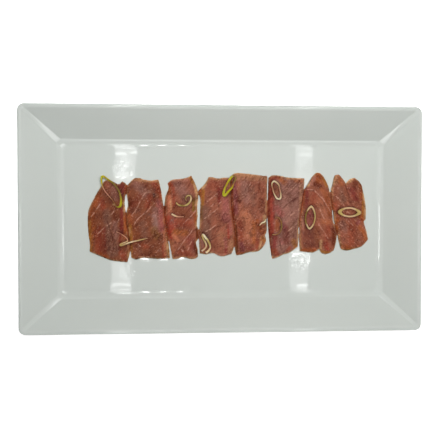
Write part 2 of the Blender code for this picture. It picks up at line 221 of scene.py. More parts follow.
def tinted(tree, colour, factor):
    """A colour made lighter and darker by a factor."""
    node = add_node(tree, "ShaderNodeVectorMath", operation="SCALE")
    link(tree, colour, node.inputs[0])
    link(tree, factor, node.inputs["Scale"])
    return node.outputs[0]


def add_bump(tree, shader, height, strength, distance):
    """Small relief under the light, from a height that changes over the surface."""
    node = add_node(tree, "ShaderNodeBump")
    node.inputs["Strength"].default_value = strength
    node.inputs["Distance"].default_value = distance * MM
    link(tree, height, node.inputs["Height"])
    link(tree, node.outputs["Normal"], shader.inputs["Normal"])
    return node


print("surface helpers:", add_speckle.__name__, tinted.__name__, add_bump.__name__)


# %% [markdown]
# ## The platter: one profile, carried round a rectangle
#
# The platter is thick glazed porcelain: a flat floor, a narrow facet round it, four sloping
# walls and a rounded lip, standing on a low foot ring. One way to make it is to carve a box.
# Here it is built like a stack of hoops instead: every hoop is a rectangle with its corners
# bevelled, and neighbouring hoops are bridged. That way each hoop's corner can be its own size,
# and the mitres between the walls can narrow on their way up, as the mould's do.
#
# First the profile. It is a list of corner points, and each corner is rounded into an arc,
# because glaze never leaves a sharp edge, and the thin bright lines on a platter are the light
# caught in those round edges. Three of the points have no rounding. Smooth shading bends towards
# a rounded edge, and one extra hoop inside the floor and one at either end of the wall keep the
# floor and the walls flat mirrors between their edges.

# %% Platter: the profile with rounded corners
FLOOR_HALF = (144.5, 67.5)
RIM_HALF = (177.5, 100.0)
FLOOR_TOP = 7.0
PROFILE = [
    # outset from the floor's edge, height, rounding, corner cut, corner profile
    (-4.4, 7.0, 0.0, 3.1, 0.27),
    (0.0, 7.0, 2.0, 3.2, 0.27),
    (4.5, 8.5, 0.9, 4.4, 0.27),
    (6.28, 9.8, 0.0, 4.27, 0.27),
    (27.42, 25.2, 0.0, 2.73, 0.27),
    (29.2, 26.5, 0.9, 2.6, 0.27),
    (30.2, 26.9, 0.5, 3.4, 0.45),
    (32.2, 27.0, 0.7, 5.2, 0.50),
    (33.0, 26.1, 0.7, 6.0, 0.50),
    (33.0, 24.0, 1.2, 6.0, 0.50),
    (4.5, 3.1, 2.0, 8.0, 0.50),
    (0.0, 2.5, 0.5, 8.0, 0.50),
    (-1.0, 0.0, 0.4, 8.0, 0.50),
    (-6.0, 0.1, 0.4, 6.0, 0.50),
    (-7.0, 2.5, 0.6, 6.0, 0.50),
]
ARC_STEPS = 4
FLAT_RUN = 20.0
LONGEST_REACH = 0.45


def rounded_profile(corners):
    """The profile with each corner between two others replaced by a short arc of points."""
    path = []
    inside_floor = (corners[0][0] - FLAT_RUN, corners[0][1])
    inside_ring = (corners[-1][0] - FLAT_RUN, corners[-1][1])
    places = [inside_floor] + [corner[:2] for corner in corners] + [inside_ring]
    for i, (outset, height, rounding, cut, bulge) in enumerate(corners):
        if rounding == 0:
            path.append((outset, height, cut, bulge))
            continue
        here = Vector((outset, height))
        back, ahead = Vector(places[i]) - here, Vector(places[i + 2]) - here
        reach = min(rounding, LONGEST_REACH * back.length, LONGEST_REACH * ahead.length)
        first, last = here + back.normalized() * reach, here + ahead.normalized() * reach
        for step in range(ARC_STEPS + 1):
            t = step / ARC_STEPS
            point = first * (1 - t) ** 2 + here * 2 * t * (1 - t) + last * t * t
            path.append((point.x, point.y, cut, bulge))
    return path


profile = rounded_profile(PROFILE)
print(len(profile), "hoops")


# %% [markdown]
# Now the hoops. Each is a plane primitive, stretched to its size, with its four vertices
# bevelled. The bevel's profile value makes the cut straight (0.25), round (0.5) or anything
# between, and a value near 0.3 gives a flat facet with softened sides. Only the outline is kept.
# Each vertex gets its hoop's number, so that two neighbouring hoops can be found again later.

# %% Platter: hoop helpers
CORNER_SEGMENTS = 8
WIDTH_SHARE = (RIM_HALF[1] - FLOOR_HALF[1]) / (RIM_HALF[0] - FLOOR_HALF[0])


def add_hoop(outset, height, cut, bulge):
    """One rounded rectangle in the mesh being edited, left selected."""
    centre = (0.0, 0.0, height * MM)
    bpy.ops.mesh.primitive_plane_add(size=2.0 * MM, location=centre)
    half_sizes = (FLOOR_HALF[0] + outset, FLOOR_HALF[1] + outset * WIDTH_SHARE, 1.0)
    bpy.ops.transform.resize(value=half_sizes, center_override=centre)
    bpy.ops.mesh.bevel(offset=cut * MM, segments=CORNER_SEGMENTS, profile=bulge,
                       affect="VERTICES")
    bpy.ops.mesh.delete(type="ONLY_FACE")


def number_hoop(mesh, number):
    """Write the hoop's number on the vertices that have none yet."""
    bm = bmesh.from_edit_mesh(mesh)
    tag = bm.verts.layers.int.get("hoop") or bm.verts.layers.int.new("hoop")
    new = [v for v in bm.verts if v[tag] == 0]
    for vertex in new:
        vertex[tag] = number
    bmesh.update_edit_mesh(mesh)
    return len(new)


def select_hoops(mesh, *numbers):
    """Select the edges that lie in these hoops."""
    bpy.ops.mesh.select_all(action="DESELECT")
    bm = bmesh.from_edit_mesh(mesh)
    tag = bm.verts.layers.int["hoop"]
    for edge in bm.edges:
        one, other = (v[tag] for v in edge.verts)
        if one == other and one in numbers:
            edge.select_set(True)
    bmesh.update_edit_mesh(mesh)


print("corners of", CORNER_SEGMENTS, "segments, each hoop", round(WIDTH_SHARE, 3), "as much wider")


# %% [markdown]
# With the helpers the platter is quickly put together. An empty mesh takes all the hoops from the
# inside of the floor over the lip to the foot ring, each pair of neighbours is bridged, and the
# first and the last hoop are filled. Filled and bridged faces may point either way, so the
# normals are made to agree at the end.

# %% Platter: hoops and bridges
bpy.ops.object.select_all(action="DESELECT")
bpy.ops.mesh.primitive_plane_add(size=MM)
platter = bpy.context.object
platter.name = "porcelain_platter"
bpy.ops.object.mode_set(mode="EDIT")
bpy.ops.mesh.select_mode(type="EDGE")
bpy.ops.mesh.select_all(action="SELECT")
bpy.ops.mesh.delete(type="VERT")

hoop_sizes = []
for number, (outset, height, cut, bulge) in enumerate(profile, 1):
    bpy.ops.mesh.select_all(action="DESELECT")
    add_hoop(outset, height, cut, bulge)
    hoop_sizes.append(number_hoop(platter.data, number))
for number in range(1, len(profile)):
    select_hoops(platter.data, number, number + 1)
    bpy.ops.mesh.bridge_edge_loops()
for number in (1, len(profile)):
    select_hoops(platter.data, number)
    bpy.ops.mesh.edge_face_add()
bpy.ops.mesh.select_all(action="SELECT")
bpy.ops.mesh.normals_make_consistent(inside=False)
bpy.ops.object.mode_set(mode="OBJECT")
only(platter)
bpy.ops.object.transform_apply(location=True, rotation=True, scale=True)
print("platter:", faces_of(platter), "faces,", set(hoop_sizes), "vertices a hoop")


# %% [markdown]
# ### Flat walls, round edges
#
# The floor and the walls are few and very large faces beside many tiny ones. Plain smooth shading
# would bend the large ones towards their edges, and the lamps' reflections with them. A Weighted
# Normal modifier lets each face count by its area, so that the large ones shade dead flat, as a
# ground mould leaves them, and only the round edges between them bend the light.

# %% Platter: flat walls and round edges
SHARPER_THAN = 50

bpy.ops.object.shade_smooth_by_angle(angle=math.radians(SHARPER_THAN))
weigh = platter.modifiers.new("weigh_normals", "WEIGHTED_NORMAL")
weigh.mode = "FACE_AREA"
weigh.weight = 50
weigh.keep_sharp = True
bpy.ops.object.modifier_apply(modifier=weigh.name)
print("edges sharper than", SHARPER_THAN, "degrees stay sharp, all others are smooth")


# %% [markdown]
# ### Wet places on the glaze
#
# Round the fish the glaze is wet in places, which breaks the lamps' reflections into glints. The
# drops are too small to model one by one, so they are a fine relief, and a mask keeps it at those
# places: the distance to the place, made longer here and shorter there by noise, so that the wet
# edge is ragged. A ramp turns that distance into 1 inside the place and 0 outside it.

# %% Glaze: the mask of the wet places
WET_SPOTS = [
    # place on the dish, and how far the wet reaches
    (-89.0, 46.0, 13.0),
    (71.6, -40.0, 13.0),
    (-88.0, -47.0, 10.0),
    (74.0, 46.0, 11.0),
    (-84.0, 59.5, 2.5),
]
WET_TEAR = 14.0


def wet_mask(tree, place, ragged):
    """1 at the wet places and 0 away from them, with a ragged edge."""
    mask = 0.0
    for x, y, reach in WET_SPOTS:
        away = add_node(tree, "ShaderNodeVectorMath", operation="DISTANCE")
        away.inputs[1].default_value = (x * MM, y * MM, FLOOR_TOP * MM)
        link(tree, place, away.inputs[0])
        torn = calculate(tree, "MULTIPLY_ADD", ragged, WET_TEAR * MM, away.outputs["Value"])
        inner, outer = (reach / 2 + WET_TEAR / 2) * MM, (reach + WET_TEAR / 2) * MM
        fade = add_ramp(tree, torn, inner, outer, 1.0, 0.0, interpolation_type="SMOOTHSTEP")
        mask = calculate(tree, "MAXIMUM", mask, fade)
    return mask


print(len(WET_SPOTS), "wet places, with edges torn over", WET_TEAR, "mm")


# %% [markdown]
# ### The glaze
#
# White glaze is a glass skin over a pale body, so it is nearly white, with a breath of green
# grey, and mirrors the lamps. It isn't perfect: it ripples slightly, which a wide and very low
# bump gives. The drops at the wet places are added to the same bump, because a shader has one
# normal only.

# %% Glaze material
GLAZE_COLOUR = srgb(190, 195, 190)
WET_RELIEF = 1.2

glaze, tree, shader = new_material("white_glaze", roughness=0.03)
coords = add_node(tree, "ShaderNodeTexCoord").outputs["Object"]
glaze_rgb = add_node(tree, "ShaderNodeRGB")
glaze_rgb.outputs[0].default_value = (*GLAZE_COLOUR, 1.0)
cloud = add_speckle(tree, coords, scale=14.0, strength=0.05)
clouded = tinted(tree, glaze_rgb.outputs[0], cloud.outputs["Factor"])
link(tree, clouded, shader.inputs["Base Color"])

drops = add_speckle(tree, coords, scale=560.0, strength=1.0, detail=0.5)
ragged = add_speckle(tree, coords, scale=130.0, strength=1.0, detail=2.0)
ripple = add_speckle(tree, coords, scale=45.0, strength=1.0, detail=0.0)
wet = wet_mask(tree, coords, ragged.outputs["Noise"])
centred = calculate(tree, "SUBTRACT", drops.outputs["Noise"], 0.5)
film = calculate(tree, "MULTIPLY", centred, wet)
relief = calculate(tree, "MULTIPLY_ADD", film, WET_RELIEF, ripple.outputs["Noise"])
add_bump(tree, shader, relief, strength=0.35, distance=0.12)
serve(platter, "platter", glaze)
print(glaze.name, "of", len(glaze.node_tree.nodes), "nodes")


# %% [markdown]
# ## The tuna: what makes it look like fish
#
# Raw tuna is no flat red. Each slice crosses several flakes of muscle, which meet along thin
# pale sinews. The flesh drifts from maroon through rose and mauve to orange, and turns tan and
# see-through where the knife ran out at an edge. Where a flake has parted, a dark crease runs in.
#
# The slices are modelled from copies of the solids, since those already have the outline and
# the cut faces. A copy is merged, remeshed into small even cells and smoothed. Then every
# vertex is moved and painted by rules: one function of the place gives both the relief and the
# colour, so that a sinew is a ridge and a pale line at once.
#
# The first cell names the tones. All slices share this palette.

# %% Tuna: the palette
TONES = {name: srgb(*tone) for name, tone in {
    "shadow": (62, 22, 12), "umber": (88, 33, 12), "maroon": (105, 36, 26),
    "wine": (121, 45, 43), "brown": (123, 67, 47), "grey": (119, 79, 68),
    "mauve": (138, 93, 86), "plum": (122, 60, 68), "rose": (140, 80, 64),
    "pink": (154, 86, 84), "blush": (170, 111, 98), "red": (147, 53, 41),
    "brick": (140, 61, 42), "rust": (147, 73, 38), "orange": (158, 87, 50),
    "ember": (177, 104, 80), "salmon": (168, 102, 79), "ochre": (158, 100, 44),
    "olive": (119, 87, 33), "tan": (171, 120, 93), "sand": (190, 148, 110),
    "sinew": (194, 144, 122),
}.items()}
print(len(TONES), "tones")


# %% [markdown]
# Next, where those tones lie. A wash is a broad soft stroke: tone, strength, half width and the
# points it runs through. A few dark washes along edges are painted shadow, and are marked where
# they stand. A sinew is a thin pale line, and a crease is a furrow pressed in and darkened with
# painted shade. The grain is the angle at which the fibres run. All places are in millimetres on
# the dish, so a stroke can be read off a ruler laid on the fish.

# %% Tuna: the strokes on slices 1 and 2
SLICES = {}
SLICES["tuna_slice_1"] = {
    "base": "brown", "grain": 62.0,
    "washes": [
        ("rose", 0.7, 5.0, [(-103, 31), (-98, 24)]), ("mauve", 0.6, 3.5, [(-98, 28), (-97, 19)]),
        ("rust", 0.8, 3.4, [(-112, 22), (-118, 4)]), ("brick", 0.8, 2.8, [(-109, 17), (-107, 9)]),
        ("rust", 0.7, 2.4, [(-117.5, 2), (-116, -8)]),
        ("orange", 0.75, 1.5, [(-117, -9), (-117, -23)]),
        ("ochre", 0.8, 1.5, [(-119.7, -2), (-119.6, -15), (-119, -28)]),
        ("maroon", 0.7, 2.2, [(-111, -8), (-110, -30)]),
        ("brick", 0.6, 2.4, [(-114, -12), (-112, -30)]),
        ("grey", 0.85, 3.8, [(-104, 6), (-102.5, -16), (-101, -31)]),
        ("maroon", 0.7, 1.8, [(-106.5, -8), (-106, -33)]),
        ("mauve", 0.8, 2.7, [(-97, -4), (-96, -16)]),
        ("grey", 0.7, 3.2, [(-96, -18), (-97, -31)]),
        ("wine", 0.8, 3.6, [(-91, 31), (-89.5, 24)]),
        ("maroon", 0.8, 2.2, [(-88, 27), (-87.6, 18)]),
        ("wine", 0.8, 1.7, [(-91, 9), (-90.6, -12)]),
        ("maroon", 0.85, 1.2, [(-92, -6), (-92.6, -27)]),
        ("rust", 0.8, 1.3, [(-88.6, 2), (-88, -18)]),
        ("umber", 0.75, 1.0, [(-87, 9), (-86.6, -4)]),
        ("brick", 0.8, 2.8, [(-91, -30), (-88, -36)]),
        ("rust", 0.6, 2.0, [(-110, -31), (-104, -34)]),
        ("tan", 0.6, 0.9, [(-108.6, 30), (-116, 19), (-120, 7)]),
        ("umber", 0.8, 0.8, [(-113, -32), (-104, -36), (-92, -38.6), (-86, -39)]),
        ("sand", 0.6, 0.9, [(-98.6, 13.4), (-96.4, 12.4)]),
        ("umber", 0.5, 1.4, [(-98, 6), (-97, 2)])],
    "sinews": [[(-119, 1), (-116, 5), (-113, 9), (-109, 15)], [(-113, -14), (-107, -8), (-99, -2)],
               [(-100, 4), (-97, 9)], [(-95, -3), (-93, 1)]],
    "creases": [[(-93.4, 33), (-93.8, 26), (-95, 20)], [(-104, -2), (-100, -14), (-98, -24)],
                [(-98.6, -7), (-99, -10)]],
}
SLICES["tuna_slice_2"] = {
    "base": "brown", "grain": 52.0,
    "washes": [
        ("mauve", 0.7, 4.5, [(-78, 31), (-70, 23)]), ("brown", 0.8, 2.6, [(-84, 27), (-82, 21)]),
        ("umber", 0.75, 2.6, [(-83.5, 17), (-82.6, 6)]),
        ("maroon", 0.45, 3.5, [(-80, 12), (-75, 20)]), ("brown", 0.7, 3.0, [(-76, 6), (-70, 15)]),
        ("brick", 0.7, 2.8, [(-68, 12), (-66, 20)]),
        ("tan", 0.75, 1.5, [(-80, 36), (-74, 34.8), (-60, 34.4)]),
        ("brick", 0.85, 2.6, [(-62, 32), (-59, 26)]), ("red", 0.6, 1.2, [(-57.6, 31), (-56, 18)]),
        ("shadow", 0.85, 1.0, [(-62.3, 22), (-62.2, 20.4)]),
        ("maroon", 0.6, 1.2, [(-61.4, 18), (-61, 16)]),
        ("pink", 0.9, 3.2, [(-57.4, 15), (-56, -9)]), ("mauve", 0.75, 3.2, [(-61, 8), (-61, -7)]),
        ("rust", 0.75, 2.4, [(-84, 3), (-81, -6)]),
        ("ochre", 0.8, 1.7, [(-83.4, -6), (-82.4, -19)]),
        ("sand", 0.7, 0.6, [(-84, -8), (-84.2, -15)]),
        ("rust", 0.5, 2.8, [(-79, -10), (-78, -20)]), ("grey", 0.5, 3.2, [(-72, -4), (-70, -14)]),
        ("brown", 0.55, 5.0, [(-76, -26), (-64, -29)]),
        ("brick", 0.5, 2.4, [(-74, -23), (-68, -25)]),
        ("olive", 0.35, 3.4, [(-62, -9), (-60, -15)]),
        ("brown", 0.7, 2.0, [(-57, -20), (-56.6, -33)]),
        ("red", 0.6, 0.9, [(-54.2, -24), (-53.6, -34)]),
        ("salmon", 0.85, 1.6, [(-53, -12), (-51.8, -32)]),
        ("sand", 0.8, 1.0, [(-50.6, -22), (-49.4, -33)]),
        ("ochre", 0.8, 0.8, [(-49, -27), (-48.4, -33)]),
        ("ochre", 0.8, 1.2, [(-82.6, -24), (-82.2, -34)]),
        ("umber", 0.85, 0.8, [(-78, -35.4), (-66, -35.6), (-54, -35.8)])],
    "sinews": [[(-64, 25), (-70, 23.4), (-74, 16.6), (-78.6, 7.4), (-83.7, 2.2)],
               [(-62.6, 13), (-69.5, 6.2), (-77, -0.1), (-80.4, -5.8)], [(-77, -34), (-66, -33.8)],
               [(-77, -22), (-74, -24.6)]],
    "creases": [[(-85, 24), (-83, 28), (-79.5, 31)], [(-68, -33), (-61.5, -28)],
                [(-66, 14), (-69, 8), (-72, 2)], [(-60, -14), (-66, -19)]],
}
print(len(SLICES["tuna_slice_1"]["washes"]), "washes on the first slice")


# %% [markdown]
# The third slice is red and orange down its left side, where the flesh is thin, and long sinews
# fall across it from right to left. The fourth is rose and pink with a greyish left side. One
# random pattern could dress all slices, but then they would look like cuts of the same cloth, so
# each one has strokes of its own.

# %% Tuna: the strokes on slices 3 and 4
SLICES["tuna_slice_3"] = {
    "base": "rose", "grain": 48.0,
    "washes": [
        ("mauve", 0.85, 5.6, [(-40, 30), (-33, 21)]), ("grey", 0.6, 3.6, [(-35, 19), (-34, 13)]),
        ("blush", 0.75, 1.7, [(-46, 35), (-33, 35.6)]),
        ("brick", 0.9, 2.0, [(-48.4, 33), (-45.6, 29)]),
        ("ochre", 0.75, 1.6, [(-29.4, 38), (-27.4, 33)]),
        ("rust", 0.85, 2.1, [(-49, 28), (-48.6, 21)]),
        ("ember", 0.95, 2.3, [(-48.4, 20), (-47.4, 8)]),
        ("sand", 0.65, 0.8, [(-47.4, 17), (-46.9, 9)]),
        ("brick", 0.8, 1.3, [(-44.6, 28), (-44, 10)]),
        # painted shadow: the left edge, shaded where it meets slice 2
        ("maroon", 0.9, 1.2, [(-52.2, 11), (-52.4, 2), (-51, -6), (-49.6, -13)]),
        ("red", 0.7, 3.2, [(-49, 1), (-46, -9)]), ("red", 0.9, 2.3, [(-48, -11), (-46.6, -18)]),
        ("orange", 0.9, 3.0, [(-43, -12), (-34, -12.6)]),
        ("ember", 0.85, 1.9, [(-44.6, -15), (-41, -19)]),
        ("salmon", 0.85, 2.0, [(-46.4, -20), (-45.6, -30)]),
        ("sand", 0.75, 1.2, [(-25.6, 31), (-23.6, 22), (-24, 12)]),
        ("olive", 0.85, 1.5, [(-26.4, 17), (-26.6, 8)]),
        ("brown", 0.85, 4.2, [(-41, 9), (-33, 4)]),
        ("umber", 0.7, 1.0, [(-36.6, 3.4), (-34.6, 3.2)]),
        ("rust", 0.8, 1.5, [(-26, 5), (-24.4, -3)]), ("brick", 0.7, 4.0, [(-40, -3), (-31, -4)]),
        ("red", 0.4, 1.5, [(-44, 0), (-42, -6)]), ("wine", 0.55, 4.2, [(-30, -18), (-27, -25)]),
        ("brick", 0.6, 3.2, [(-38, -29), (-31, -32)]),
        # painted shadow: the lower right corner, under the edge of slice 4
        ("umber", 0.95, 2.3, [(-24.6, -25.6), (-23, -31)]),
        ("umber", 0.8, 1.0, [(-23.6, -9), (-23.4, -17)]),
        ("tan", 0.8, 1.2, [(-42, -35.2), (-24, -35.4)]),
        ("sand", 0.6, 0.9, [(-24.2, -3), (-23.4, -7)])],
    "sinews": [[(-24, 8.5), (-28.6, 2.7), (-36.1, -4.7)],
               [(-25.8, -7.7), (-31.5, -15.1), (-37.3, -22.6), (-41.3, -29)],
               [(-28, -19), (-32, -29)], [(-38, -27), (-35.4, -30)]],
    "creases": [[(-28, 36), (-31, 30), (-34.3, 26)], [(-28, 11), (-33, 6)], [(-36, -25), (-33, -33)]],
}
SLICES["tuna_slice_4"] = {
    "base": "rose", "grain": 42.0,
    "washes": [
        ("tan", 0.8, 1.4, [(-12, 37.4), (-5, 36.4), (4, 37)]),
        ("sand", 0.75, 1.5, [(-14.4, 34), (-18, 28)]),
        ("orange", 0.9, 2.2, [(-20.6, 26), (-18.6, 21)]),
        ("ochre", 0.85, 1.4, [(-17.4, 26), (-18, 14)]),
        ("olive", 0.6, 1.6, [(-18.4, 12), (-19, 0)]),
        ("grey", 0.85, 4.4, [(-15.6, 8), (-15, -20)]), ("brick", 0.5, 4.5, [(-11, 31), (-5, 29)]),
        ("wine", 0.75, 1.9, [(-3, 27), (-3, 16)]), ("maroon", 0.8, 1.0, [(-3.6, 20), (-4, 16)]),
        ("shadow", 0.6, 0.9, [(-3.8, 12.6), (-3.6, 11)]), ("pink", 0.85, 4.0, [(3, 17), (2, 1)]),
        ("pink", 0.6, 2.8, [(6, 0), (7.4, -12)]),
        ("blush", 0.8, 1.0, [(8, 19), (9, 8), (10.2, -2), (10.6, -14)]),
        ("rose", 0.6, 5.0, [(-5, -5), (-3, -20)]), ("tan", 0.35, 3.6, [(-2, -14), (0, -22)]),
        ("red", 0.8, 1.1, [(4.6, -6), (5.4, -17)]), ("pink", 0.7, 1.6, [(2, -18), (3, -25)]),
        ("tan", 0.6, 2.4, [(8, -21), (6.4, -30)]), ("wine", 0.85, 1.6, [(3, -28), (3, -30)]),
        ("blush", 0.8, 1.1, [(-9, -30.6), (-2, -32.8), (6, -32)]),
        ("mauve", 0.75, 2.2, [(-19.6, -18), (-18.6, -26)]),
        ("umber", 0.5, 1.4, [(-14, -1), (-12, -4)])],
    "sinews": [[(-4.1, 24.1), (-9.6, 19.6), (-15.3, 14.8)], [(-3.8, 10.2), (-12.5, 3.3), (-17.7, -0.2)],
               [(-5.5, -4.8), (-11, -9), (-16.5, -11.7)], [(-1, 16), (-3.4, 14.2)], [(-8, 14), (-11, 11)]],
    "creases": [[(0.6, -1), (-0.6, -3.6)], [(-3, 24), (-5, 20)], [(-2, -6), (-9, -9)]],
}
print(len(SLICES["tuna_slice_4"]["washes"]), "washes on the fourth slice")


# %% [markdown]
# The fifth slice has a wide salmon flake in the middle and small dark marks above it. The sixth
# is mauve, with a red strip down its left side. Both end in a tan upper edge, which is thin
# enough for light to pass. Short wide washes do for the marks, and long narrow ones for the edge.

# %% Tuna: the strokes on slices 5 and 6
SLICES["tuna_slice_5"] = {
    "base": "rose", "grain": 55.0,
    "washes": [
        ("tan", 0.85, 1.9, [(11, 40), (24, 39.6), (39, 38.6)]),
        ("tan", 0.55, 1.8, [(12, 36.6), (40, 36.4)]), ("mauve", 0.8, 5.0, [(19, 32), (22, 17)]),
        ("plum", 0.75, 2.3, [(11, 31), (12.4, 6)]),
        ("maroon", 0.9, 1.3, [(8.6, 26), (9.4, 6), (10.6, -3)]),
        ("umber", 0.9, 1.3, [(11.4, -6), (12.4, -16), (12.8, -31)]),
        ("grey", 0.6, 3.2, [(27, 27), (28, 15)]), ("umber", 0.6, 1.5, [(33, 31), (32.6, 24)]),
        ("umber", 0.45, 1.2, [(36.6, 28), (37, 25)]), ("umber", 0.55, 2.2, [(35, 18), (34, 8)]),
        ("umber", 0.6, 1.4, [(13.4, 17.4), (15.6, 15.4)]),
        ("umber", 0.45, 1.0, [(29, 19), (30, 18)]), ("tan", 0.75, 1.3, [(40, 24), (39.4, 8)]),
        ("sand", 0.75, 1.6, [(38, 2), (38.6, -4)]),
        ("salmon", 0.95, 4.8, [(20, 4), (25, -4), (24, -14)]),
        ("orange", 0.8, 2.2, [(28.6, -3), (28.4, -21)]),
        ("brick", 0.7, 2.7, [(15.6, -4), (17, -19)]),
        ("rust", 0.9, 1.6, [(31.4, -1.4), (31, -3.6)]),
        ("rust", 0.8, 2.8, [(34, -8), (36.6, -12)]), ("brick", 0.7, 1.6, [(31, -19), (31, -26)]),
        ("ochre", 0.6, 2.2, [(35.6, -17), (38, -20)]),
        ("sand", 0.75, 1.2, [(35, -21), (33.6, -27)]),
        ("plum", 0.75, 2.4, [(17, -23), (18.4, -28)]),
        ("rust", 0.8, 1.3, [(14, -32), (19, -31.6)]), ("wine", 0.6, 1.5, [(22, -26), (28, -28)]),
        ("ember", 0.6, 1.0, [(21, 5), (27, 3)])],
    "sinews": [[(40.2, 5), (40, -3)], [(26, 33), (22, 27)]],
    "creases": [[(12.4, 16), (15, 17), (17.6, 16)], [(14.4, 19), (15.6, 14)], [(33, 29), (36, 22)],
                [(26, 31), (23, 27)], [(31, -4), (29.6, -8)]],
}
SLICES["tuna_slice_6"] = {
    "base": "mauve", "grain": 40.0,
    "washes": [
        ("red", 0.85, 2.5, [(44.6, 33), (44.6, 0), (45, -14)]),
        ("wine", 0.6, 1.0, [(47.2, 13), (46.8, 2)]),
        ("maroon", 0.9, 0.9, [(42, 35), (42.2, 10), (42.3, -8), (43.6, -20), (45, -33)]),
        ("brick", 0.85, 1.9, [(44, 37), (51, 37.6)]),
        ("orange", 0.85, 2.3, [(53, 36), (57, 32.6)]), ("tan", 0.8, 1.5, [(59, 37), (74, 36.8)]),
        ("orange", 0.6, 1.6, [(66, 34.6), (72, 34)]), ("brown", 0.8, 3.0, [(49, 29), (49.4, 24)]),
        ("mauve", 0.85, 5.4, [(61, 29), (67, 22)]), ("mauve", 0.6, 4.8, [(56, 17), (62, 7)]),
        ("pink", 0.85, 3.2, [(49, 10), (54, 4)]), ("tan", 0.5, 1.6, [(71.6, 31), (71, 10)]),
        ("sand", 0.8, 0.9, [(69.4, -3), (68.6, -20)]), ("rust", 0.8, 2.6, [(50, -2), (50, -10)]),
        ("olive", 0.6, 0.9, [(53.6, -2), (53.4, -9)]),
        ("maroon", 0.6, 3.4, [(57.6, -9), (58, -21)]),
        ("wine", 0.85, 2.6, [(48, -17), (47, -25)]), ("brick", 0.8, 2.6, [(47, -29), (50, -33)]),
        ("pink", 0.6, 1.8, [(53, -19), (54, -22)]),
        ("ochre", 0.75, 2.3, [(64.6, -20), (67, -26)]),
        ("brick", 0.75, 1.6, [(61.4, -26), (59, -29)]),
        ("tan", 0.8, 0.9, [(45.6, -35.6), (51, -34.4)]),
        ("grey", 0.6, 3.0, [(63, -4), (64, -13)]), ("plum", 0.5, 1.8, [(56, -4), (57, -9)])],
    "sinews": [[(70.4, 9), (66, 6.5), (61, 2.6)], [(69.8, -2.6), (64.6, -7), (59.3, -11.3)],
               [(70, -1), (69.6, -12)], [(68, 32), (62, 26)]],
    "creases": [[(70.4, 34.7), (66, 29), (60.4, 23)], [(67, 18.4), (62, 15.4), (58.4, 13)],
                [(58, 12.6), (55, 9.6)], [(60, -12), (56.4, -20)], [(52, -20), (53.4, -29)]],
}
print(len(SLICES["tuna_slice_6"]["washes"]), "washes on the sixth slice")


# %% [markdown]
# In the last two slices the fibres slope the other way, so their grain is negative. A long sinew
# bows over the seventh, and a sandy edge runs down the right of the eighth. A line may have as
# many points as it needs: two for a straight mark, seven for the bow.

# %% Tuna: the strokes on slices 7 and 8
SLICES["tuna_slice_7"] = {
    "base": "rose", "grain": -52.0,
    "washes": [
        ("rust", 0.85, 3.2, [(87, 42), (88, 35)]), ("blush", 0.8, 2.0, [(83.4, 38), (81, 32)]),
        ("umber", 0.7, 2.6, [(85, 32), (89, 30)]),
        ("orange", 0.55, 1.8, [(90.4, 37), (90.6, 33)]),
        ("ochre", 0.75, 1.4, [(92.4, 37), (95, 30)]), ("wine", 0.75, 2.3, [(77, 27), (75.6, 12)]),
        ("brick", 0.5, 3.4, [(84, 22), (82, 14)]), ("orange", 0.5, 2.4, [(91, 27), (95, 22)]),
        ("salmon", 0.5, 4.4, [(89, 15), (93, 0)]), ("rust", 0.6, 3.0, [(96, 19), (99, 4)]),
        ("plum", 0.6, 3.2, [(80, 4), (80, -5)]), ("blush", 0.75, 1.3, [(73, 1), (73.6, -13)]),
        ("brown", 0.6, 1.6, [(74.6, 22), (74, 8)]), ("grey", 0.6, 5.0, [(78, -13), (82, -22)]),
        ("maroon", 0.45, 5.6, [(77, -12), (82, -24)]),
        ("rust", 0.85, 1.9, [(74, -28.6), (84.4, -28.4)]),
        ("ember", 0.6, 0.8, [(83.6, -27), (84.8, -27)]),
        ("brown", 0.7, 2.6, [(86, -8), (87, -20)]),
        ("sand", 0.75, 1.2, [(90.2, -20), (89.8, -27)]),
        ("brick", 0.6, 3.0, [(97, -8), (96, -18)]),
        ("umber", 0.8, 2.3, [(102.4, -10), (102, -23)]),
        ("red", 0.85, 2.2, [(95, -23), (96.4, -28)]), ("ochre", 0.8, 1.4, [(91, -30), (98, -31)]),
        ("orange", 0.45, 2.6, [(92.6, -3), (97, -3)])],
    "sinews": [[(75.5, 26), (77.9, 27.1), (83.2, 26.5), (86.7, 23.6), (91.5, 19), (95, 13.1), (100.4, 4.4)],
               [(87.4, -3.8), (91.6, -10.3), (97.5, -19.1)], [(88, 12), (91.6, 3), (95, -4)]],
    "creases": [[(80, 25.8), (84, 25.6)], [(97.4, 22.6), (98, 20)], [(88.6, -26), (87.2, -19)]],
}
